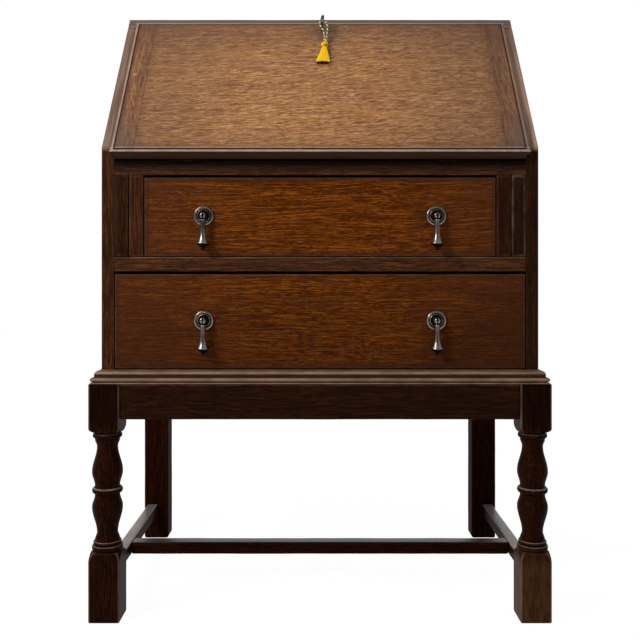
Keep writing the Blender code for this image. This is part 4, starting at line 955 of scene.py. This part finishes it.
# %% Moulding section
def moulding_section():
    """(projection, height) of the section, closed at the back, how light each point is, rubbed wear and
    painted highlight, and its painted shade.

    A low fillet, an arc of an ellipse for the torus, a fillet, then a quarter hollow up to a small cap.
    """
    foot = np.array([(0.0154, 0.0), (0.0158, 0.0003), (0.0158, 0.0016), (0.0153, 0.0021), (0.0112, 0.0026)])
    t = np.radians(np.linspace(-75, 80, 17))
    torus = np.stack([0.0154 - 0.0036 * (1 - np.cos(t)), 0.0068 + 0.0035 * np.sin(t)], 1)
    fillet = np.array([(0.0104, 0.0104), (0.0100, 0.0107), (0.0099, 0.0124), (0.0099, 0.0144)])
    a = np.radians(np.linspace(0, 90, 14))
    cove = np.stack([0.0100 - 0.0060 * (1 - np.cos(a)), 0.0148 + 0.0059 * np.sin(a)], 1)
    head = np.array([(0.0033, 0.0208), (0.0029, 0.0210), (0.0029, 0.0214), (0.0024, 0.0217)])
    back = np.array([(0.0003, 0.0217), (0.0003, 0.0)])
    # Painted highlight, partly rubbed wear: light along the top of the torus, the fillets and the middle of
    # the cove.
    hollow = np.interp(np.sin(a), [0, 0.12, 0.37, 0.63, 0.9], [0.2, 0.5, 1, 0.85, 0.35])
    tops = [[0, 0.5, 0.9, 0.9, 0], np.clip(1.5 * np.cos(t) - 0.4, 0, 0.85), [0.2, 0.15, 0.15, 0.15], hollow]
    tops += [[0.3, 0.6, 0.8, 0.8], [0, 0]]
    section = np.concatenate([foot, torus, fillet, cove, head, back])
    # Painted shade under the torus and in the recess above the foot fillet.
    dark = np.concatenate([[0.3, 0, 0, 0.3, 1], np.clip(-10 * np.sin(t) - 9, 0, 1)])
    dark = np.pad(dark, (0, len(section) - len(dark)))
    return section, rub_and_highlight(np.concatenate(tops)), 0.8 * dark


section, crest, moulding_shade = moulding_section()
print("moulding section of", len(section), "points")


# %% Moulding runs
def moulding(where, places, wood, plank):
    """One run: the section's points, given as arrays of X, Y and Z that are spread over each other."""
    points = np.stack(np.broadcast_arrays(*places), -1)
    piece = skin(f"moulding_{where}_run", points, arris=crest, quirk=moulding_shade, plank=plank)
    return fit(piece, OAKS[wood], f"moulding_{where}")


MITRE_GAP, CHAFED = 0.00015, 0.00025
stand_out, rise = section.T
low, high = (np.array(corner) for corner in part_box("side_right"))
CASE_HALF, CASE_FRONT, CASE_BACK, CASE_BASE = high[0], low[1], high[1], low[2]
run = np.linspace(-1, 1, 81)[:, None]
chafe = CHAFED * ripple(2 * run, rise[None] * 40, 5.7)
places = [run * (CASE_HALF + stand_out - MITRE_GAP), CASE_FRONT - stand_out + chafe, CASE_BASE + rise]
moulding("front", places, "moulding", 0.8)
run = np.linspace(0, 1, 51)[:, None]
for side, sign in SIDES.items():
    start = CASE_FRONT - stand_out + MITRE_GAP
    out = CASE_HALF + stand_out - CHAFED * ripple(2 * run, rise[None] * 40, 3.1 + sign)
    places = [sign * out, start + run * (CASE_BACK - start), CASE_BASE + rise]
    moulding(side, places, "end_moulding", 2.6 + sign)
print("mouldings mitred at the front corners")

# %% [markdown]
# ## Metals
# The handles are cast brass that has gone dark brown and been rubbed bright on the raised rings. The key is
# old polished steel, greyer and bluer. Hinges and lock are brass, dulled by a century of air and nearly
# black:
# dark tarnish with the painted shade of the gap under the fall. A metal has no diffuse colour of its own: its
# colour is that of its reflections, so the patina is a
# mix of two reflection colours and roughnesses, laid down by noise and by the mark of the raised parts.


# %% Metal recipe
def patinated(name, bright, dark, rough, spread, patch_mm):
    """A metal with patina: the dark, duller tone covers where noise is high.

    The mark of raised parts is taken from the noise, so they stay bright and hollows go dark. On the drops
    the mark is also a painted highlight on the collar and bell and painted shade under the bell.
    """
    material, tree = new_tree(name)
    place = add(tree, "TexCoord", out=3)
    patch = add(tree, "TexNoise", {"Vector": place, "Scale": 1000 / patch_mm, "Detail": 3})
    patch = add(tree, "MapRange", {0: patch, 1: 0.25, 2: 0.60}, interpolation_type="SMOOTHSTEP")
    raised = add(tree, "Attribute", out=2, attribute_name="arris")
    raised = add(tree, "Math", {0: raised, 1: 0.8}, operation="MULTIPLY")
    dull = add(tree, "Math", {0: patch, 1: raised}, operation="SUBTRACT", use_clamp=True)
    colour = add(tree, "Mix", {0: dull, 6: linear(bright), 7: linear(dark)}, out=2, data_type="RGBA")
    gloss = add(tree, "MapRange", {0: dull, 3: rough, 4: rough + spread})
    pits = add(tree, "TexNoise", {"Vector": place, "Scale": 1000 / 1.5, "Detail": 2})
    bump = add(tree, "Bump", {"Height": pits, "Strength": 0.05, "Distance": 0.0003})
    inputs = {"Base Color": colour, "Metallic": 1.0, "Roughness": gloss, "Normal": bump}
    add(tree, "OutputMaterial", {"Surface": add(tree, "BsdfPrincipled", inputs)})
    return material


# dark handles with warm silvery glints on rings and bells, on the drops' collars and bells partly a painted
# highlight
handle_brass = patinated("cast_brass_dark_patina", "#8f847b", "#1d1613", 0.28, 0.14, 16)
# near-black leaves, dark tarnish and painted shade, that hardly show in the gap under the fall
hinge_brass = patinated("rolled_brass_tarnished", "#241b11", "#120d08", 0.45, 0.20, 9)
# a cool grey against all the brown
key_steel = patinated("forged_steel_polished_worn", "#ccd2d3", "#474c4e", 0.30, 0.40, 5)
print("metals:", handle_brass.name, hinge_brass.name, key_steel.name)

# %% [markdown]
# ## Drop handles
# Each handle is a cast rosette with two raised rings and a slotted boss, and a bell-shaped drop that swings
# on a pin in the slot. Both were turned, so both are profiles carried round an axis. The slot is then
# cut with a Boolean, and the eye of the drop is a small ring round the pin.


# %% Turned shapes
def smooth_curve(points, steps):
    """Points on a smooth curve through chosen points: each stretch is the cubic whose slopes are half the
    chord between its neighbours."""
    points = np.asarray(points, float)
    padded = np.concatenate([2 * points[:1] - points[1:2], points, 2 * points[-1:] - points[-2:-1]])
    p, q, r, s = padded[:-3, None], padded[1:-2, None], padded[2:-1, None], padded[3:, None]
    t = np.linspace(0, 1, steps, endpoint=False)[None, :, None]
    bend, twist = 2 * p - 5 * q + 4 * r - s, 3 * q - p - 3 * r + s
    curve = q + ((r - p) * t + bend * t**2 + twist * t**3) / 2
    return np.concatenate([curve.reshape(-1, points.shape[1]), points[-1:]])


def around(axis, sides):
    """Unit directions round an axis: cos t times one side vector plus sin t times the other."""
    side = np.cross(axis, [0.31, 0.17, 0.94])
    side /= np.linalg.norm(side)
    t = circle(sides)[:, None]
    return np.cos(t) * side + np.sin(t) * np.cross(axis, side)


def turned(name, profile, centre, axis, sides, **marks):
    """A profile of (radius, distance) pairs round an axis: centre + radius * ring + distance * axis."""
    radius, along = np.asarray(profile, float).T[:, :, None, None]
    return skin(name, centre + radius * around(axis, sides)[None] + along * np.asarray(axis), **marks)


def ring_round(name, centre, axis, radius, thick, wide, sides=40):
    """A ring about an axis: its section is a squarish round, cos and sin raised to the power 0.7."""
    s = circle(16)
    cosine, sine = (np.sign(v) * np.abs(v) ** 0.7 for v in (np.cos(s), np.sin(s)))
    out = (radius + thick * cosine)[None, :, None] * around(axis, sides)[:, None]
    return skin(name, centre + out + (wide * sine)[None, :, None] * np.asarray(axis), closed=True)


print("turning tools ready")

# %% Handle profiles in millimetres
# Pairs of radius and distance along the axis.
ROSETTE = [
    (16.35, 0.30), (16.35, 1.2), (16.0, 2.4), (15.2, 3.2), (14.2, 3.5), (13.2, 3.4), (12.4, 2.8),
    (11.9, 2.0), (11.4, 1.7), (10.9, 2.0), (10.3, 2.6), (9.6, 2.6), (9.0, 1.9), (8.4, 1.2), (7.6, 0.9),
    (6.7, 1.0), (6.0, 1.9), (5.4, 3.6), (5.2, 5.5), (5.2, 9.0), (5.2, 13.0), (5.05, 14.4), (4.5, 15.7),
    (3.5, 16.55), (2.0, 16.95), (0.6, 17.0),
]
DROP = [
    (1.0, 2.6), (1.0, 4.6), (1.1, 6.1), (3.9, 6.4), (4.8, 6.9), (4.8, 7.8), (4.0, 8.6), (3.75, 9.6),
    (3.75, 13.0), (3.85, 18.0), (4.15, 24.0), (4.7, 30.0), (5.7, 35.0), (7.3, 39.8), (9.0, 43.2),
    (9.7, 44.6), (9.75, 45.4), (9.3, 46.6), (7.6, 48.3), (5.4, 50.0), (3.7, 51.4), (2.6, 52.1),
    (2.6, 52.5), (3.1, 53.3), (3.1, 54.4), (2.6, 55.8), (1.6, 56.7), (0.5, 57.0),
]
print("profiles of", len(ROSETTE), "and", len(DROP), "points")


# %% Handles
SLOT_HALF, SLOT_LOW, SLOT_HIGH = 0.0012, 0.0105, 0.0039


def handle(drawer, side):
    """A rosette on the drawer's front and the drop that hangs from it, from the two profiles."""
    place, pivot = f"{drawer}_{side}", np.array(JOINTS[f"{drawer}_drop_{side}_swing"]["pos_m"])
    x, _, z = pivot
    out, down = np.array([0, -1.0, 0]), np.array([0, 0, -1.0])
    profile = np.concatenate([[(2.4, -23.5), (2.4, 0.30)], smooth_curve(ROSETTE, 3)])
    raised = np.clip((profile[:, 1:] - 1.9) / 1.2, -0.8, 1)
    seat = (x, CASE_FRONT, z)
    plate = turned(f"handle_rosette_{place}", profile / 1000, seat, out, 64, arris=raised)
    across, up = rectangle((x - SLOT_HALF, z - SLOT_LOW), (x + SLOT_HALF, z + SLOT_HIGH)).T
    slot = [np.stack([across, np.full(4, CASE_FRONT - reach), up], 1) for reach in (0.0076, 0.03)]
    plate = carve(plate, [skin("slot", np.stack(slot))])
    pin = [(0.0011, -0.0035), (0.0011, 0.0), (0.0011, 0.0035)]
    pin = turned(f"handle_pin_{place}", pin, pivot, RIGHT, 16)
    profile = smooth_curve(DROP, 3)
    # Painted highlight on the drop's collar and bell where the radius passes 3.4 mm, and painted shade under
    # the bell's rim.
    flare = np.where(profile[:, 1:] < 45.6, np.clip((profile[:, :1] - 3.4) / 1.4, 0, 1), -1.0)
    drop = turned(f"handle_drop_{place}", profile / 1000, pivot, down, 56, arris=flare)
    eye = ring_round(f"handle_eye_{place}", pivot, RIGHT, 0.0025, 0.0012, 0.0010)
    for piece, node in ((plate, "plate"), (pin, "plate"), (drop, "drop"), (eye, "drop")):
        fit(piece, handle_brass, f"handle_{node}_{place}")


DRAWERS = ("upper_drawer", "lower_drawer")
for drawer in DRAWERS:
    for side in SIDES:
        handle(drawer, side)
print("four handles")

# %% [markdown]
# ## Key
# A small steel key stands in the lock, its bow turned nearly edge-on to the front. Shank and collar are
# turned about the lock's axis, the bow is a ring in a plane along that axis, and the bit is a plain block.

# %% Key
BOW_OUT = FALL_THICKNESS + 0.021
# Pairs of radius and height over the slope, in millimetres.
shank = [
    (1.0, 6.5), (2.2, 6.8), (2.4, 8.0), (2.4, 24.4), (3.4, 24.5), (3.6, 25.0), (3.6, 26.0), (3.4, 26.3),
    (2.5, 26.5), (2.3, 30.0), (2.4, 34.5), (2.8, 36.0), (2.5, 37.6), (1.4, 38.6),
]
stem = turned("key_stem", np.array(shank) / 1000, on_slope(LOCK_X, KEY_RISE, 0.0), OUT, 32)
lean = math.radians(16)
bow_axis = math.cos(lean) * RIGHT - math.sin(lean) * UP
bow = ring_round("key_bow", on_slope(LOCK_X, KEY_RISE, BOW_OUT), bow_axis, 0.0066, 0.0017, 0.0017, 56)
bit = slope_block("key_bit", (LOCK_X - 0.0014, KEY_RISE - 0.007, 0.0067), (LOCK_X + 0.0014, KEY_RISE, 0.0095))
for piece in (stem, bow, bit):
    fit(piece, key_steel, "key")
print("key", round(1000 * (BOW_OUT + 0.0083), 1), "mm out of the slope")

# %% [markdown]
# ## Tassel
# A loop of two-ply cord goes through the key's bow and carries a silk tassel: a bound head and a skirt of
# threads that lies flat on the slope. The cord is a tube whose section turns as it goes, so its two plies
# wind round each other. The skirt is a flattened cone with one wave for each thread, hollow underneath,
# with its threads cut unevenly. Hair particles would give finer threads but no mesh that can be kept.

# %% Cord loop
LOOP, HEAD, SKIRT = 0.040, 0.0150, 0.0390
HANG_UP = KEY_RISE - 0.0033
HEAD_OUT, HEM_OUT = FALL_THICKNESS + 0.0068, FALL_THICKNESS + 0.0034
# Across, down the slope and inward from the bow, in millimetres: up the right strand and down the left.
ROUTE = [
    (6.4, 39.7, 14.2), (7.5, 33.0, 13.0), (9.0, 24.0, 10.0), (9.6, 15.0, 6.0), (8.6, 6.8, 2.6),
    (5.1, 1.3, 0.6), (0.5, -0.4, 0.0), (-3.4, 2.1, 0.8), (-4.0, 6.8, 2.7), (-1.8, 12.0, 5.2),
    (1.4, 17.6, 7.7), (3.5, 24.6, 10.5), (4.0, 32.4, 13.0), (4.5, 39.7, 14.2),
]
PLY_TURN, CORD_HALF = 0.0075, 0.0015


def hung(x, down, out):
    """Points of the tassel: x to the right of the key, down the slope from the bow, out of the slope."""
    return on_slope(LOCK_X + x, HANG_UP - down, out)


line = smooth_curve(ROUTE, 20) / 1000
centre = hung(line[:, 0], line[:, 1], BOW_OUT - line[:, 2])
reach = np.concatenate([[0], np.cumsum(np.linalg.norm(np.diff(centre, axis=0), axis=1))])
ahead = np.gradient(centre, axis=0)
ahead /= np.linalg.norm(ahead, axis=1)[:, None]
aside = np.cross(ahead, OUT)
aside /= np.linalg.norm(aside, axis=1)[:, None]
above = np.cross(aside, ahead)
t = circle(20)[None]
twist = t - 2 * np.pi * reach[:, None] / PLY_TURN
thick = CORD_HALF * (0.78 + 0.22 * np.abs(np.cos(twist)))[..., None]
grid = centre[:, None] + thick * np.cos(t)[..., None] * aside[:, None]
grid += thick * np.sin(t)[..., None] * above[:, None]
cord = skin("tassel_cord_twisted", grid, ply=np.cos(twist))
print("cord", round(1000 * reach[-1], 1), "mm long")


# %% Tassel head and skirt
def drift(down):
    """How far right of the key the tassel's middle lies, falling evenly from its head to its hem."""
    return 0.0054 - 0.0042 * down / (HEAD + SKIRT)


def tassel_part(name, threads, seed, *rings, hem=0.0):
    """Rings down the tassel: an oval of half-width wide and half-depth deep, with one wave for each thread.

    Each ring has its way down, width, depth, height over the slope, depth of the wave and raggedness.
    """
    t = circle(threads * 5)[None]
    down, wide, deep, out, wave, ragged = (np.asarray(v)[:, None] for v in rings)
    ply = np.cos(threads * t + 0.6 * np.sin(3 * t + seed))
    low = down + ragged * (ripple(0.9 * t, 2.1 * np.cos(t), seed) - 0.5)
    x, lift = wide * (1 + wave * ply) * np.cos(t), deep * (1 + wave * ply) * np.sin(t)
    return skin(name, hung(drift(low) + x, LOOP + low, out + lift), ply=ply, hem=hem)


share = np.linspace(0.02, 1, 24)
swell = 0.0062 * np.sin(np.pi * (0.06 + 0.84 * share**1.5))
rings = [share * HEAD, swell, swell, HEAD_OUT + 0 * share, 0.04 + 0 * share, 0 * share]
head = tassel_part("tassel_head_bound", 30, 1.1, *rings)
OUTSIDE, UNDERSIDE = 30, 22
down = np.concatenate([np.linspace(0, 1, OUTSIDE), np.linspace(0.985, 0.35, UNDERSIDE)])
hollow = np.arange(OUTSIDE + UNDERSIDE) >= OUTSIDE
wide = (0.0036 + 0.0081 * down**0.85) * np.where(hollow, 0.86, 1.0)
deep = (0.0036 - 0.0010 * down**0.8) * np.where(hollow, 0.62, 1.0)
lift = HEAD_OUT + (HEM_OUT - HEAD_OUT) * down**0.7
drop = HEAD + 0.0006 + down * SKIRT
# Painted shade on the hem: the hollow underside and the lowest tenth of the skirt's outside.
hem = np.where(hollow, 1.0, np.clip((down - 0.90) / 0.1, 0, 1) ** 2)[:, None]
rings = [drop, wide, deep, lift, 0.05 + 0.06 * down, 0.004 * down**3]
skirt = tassel_part("tassel_skirt_threads", 22, 2.7, *rings, hem=hem)
knot = hung(drift(HEAD), LOOP + HEAD + 0.0002, HEAD_OUT)
wrap_axis = math.cos(0.25) * UP - math.sin(0.25) * RIGHT
wrap = ring_round("tassel_wrap", knot, wrap_axis, 0.0036, 0.0009, 0.0012, 44)
print("tassel of", len(skirt.data.vertices), "points")

# %% [markdown]
# ## Silk
# Silk thread is smooth and shines along each strand, so the tassel is painted bright yellow on the crests, a
# painted sheen, and orange in the furrows, painted shade. The mark on each thread gives both, and painted
# shade darkens the hem and the underside of the skirt. The cord is plied from a cream strand and a
# dark one.


# %% Silk and cord
def thread(name, furrow, crest, patch_mm, rough):
    """Spun thread: its own mark mixes furrow and crest tones, on silk painted shade and painted sheen, on the
    cord its two plies; slow noise deepens patches, and painted shade darkens the hem.
    """
    material, tree = new_tree(name)
    place = add(tree, "TexCoord", out=3)
    ply, hem = (add(tree, "Attribute", out=2, attribute_name=mark) for mark in ("ply", "hem"))
    patch = add(tree, "TexNoise", {"Vector": place, "Scale": 1000 / patch_mm, "Detail": 2})
    colour = lay(tree, linear(furrow), [(ply, -0.9, 0.4, crest, 1.0)])
    masks = [(patch, 0.35, 0.7, furrow, 0.35), (hem, 0.0, 1.0, "#7a3206", 1.0)]
    colour = lay(tree, colour, masks, "LINEAR")
    inputs = {"Base Color": colour, "Roughness": rough, "Specular IOR Level": 0.1}
    add(tree, "OutputMaterial", {"Surface": add(tree, "BsdfPrincipled", inputs)})
    return material


# the one bright spot of colour on the bureau
silk = thread("spun_silk_golden", "#ee9a00", "#ffe02a", 5, 0.5)
# a line of orange that parts head and skirt
wrap_silk = thread("spun_silk_wrap", "#a85c00", "#c97a08", 3, 0.55)
# light and dark beads of cord against the brown
plied = thread("plied_cotton_cord", "#443a1c", "#ecdfae", 2, 0.7)
for part, material in ((head, silk), (skirt, silk), (wrap, wrap_silk)):
    fit(part, material, "tassel")
fit(cord, plied, "tassel_cord")
print("tassel in", silk.name)

# %% [markdown]
# ## Solids that stay
# Inside boards, hinges and the lock are box shapes that the solids already give well, so they only get their
# materials: raw planed oak inside, waxed oak on the bed, dull brass and steel.

# %% Dress the remaining solids
KEPT = {
    "inner_x": [f"{d}_{board}" for d in DRAWERS for board in ("back", "bottom")],
    "inner_y": [f"{d}_side_{side}" for d in DRAWERS for side in SIDES],
    "inner_z": ["back_panel"] + [f"pigeonhole_divider_{at}" for at in (1, 2, 3)],
    "rail": ["case_floor"],
    "bed": ["writing_bed"],
}
KEPT["inner_x"] += ["dust_board", "pigeonhole_shelf"]
finishes = {node: OAKS[wood] for wood, nodes in KEPT.items() for node in nodes}
finishes.update({f"{leaf}_leaf_{side}": hinge_brass for leaf in ("bed", "fall") for side in SIDES})
finishes.update({"lock_case": hinge_brass, "lock_bolt": key_steel})
for node, material in finishes.items():
    frame["nodes"][node].data.materials.clear()
    frame["nodes"][node].data.materials.append(material)
print(len(finishes), "solids dressed")
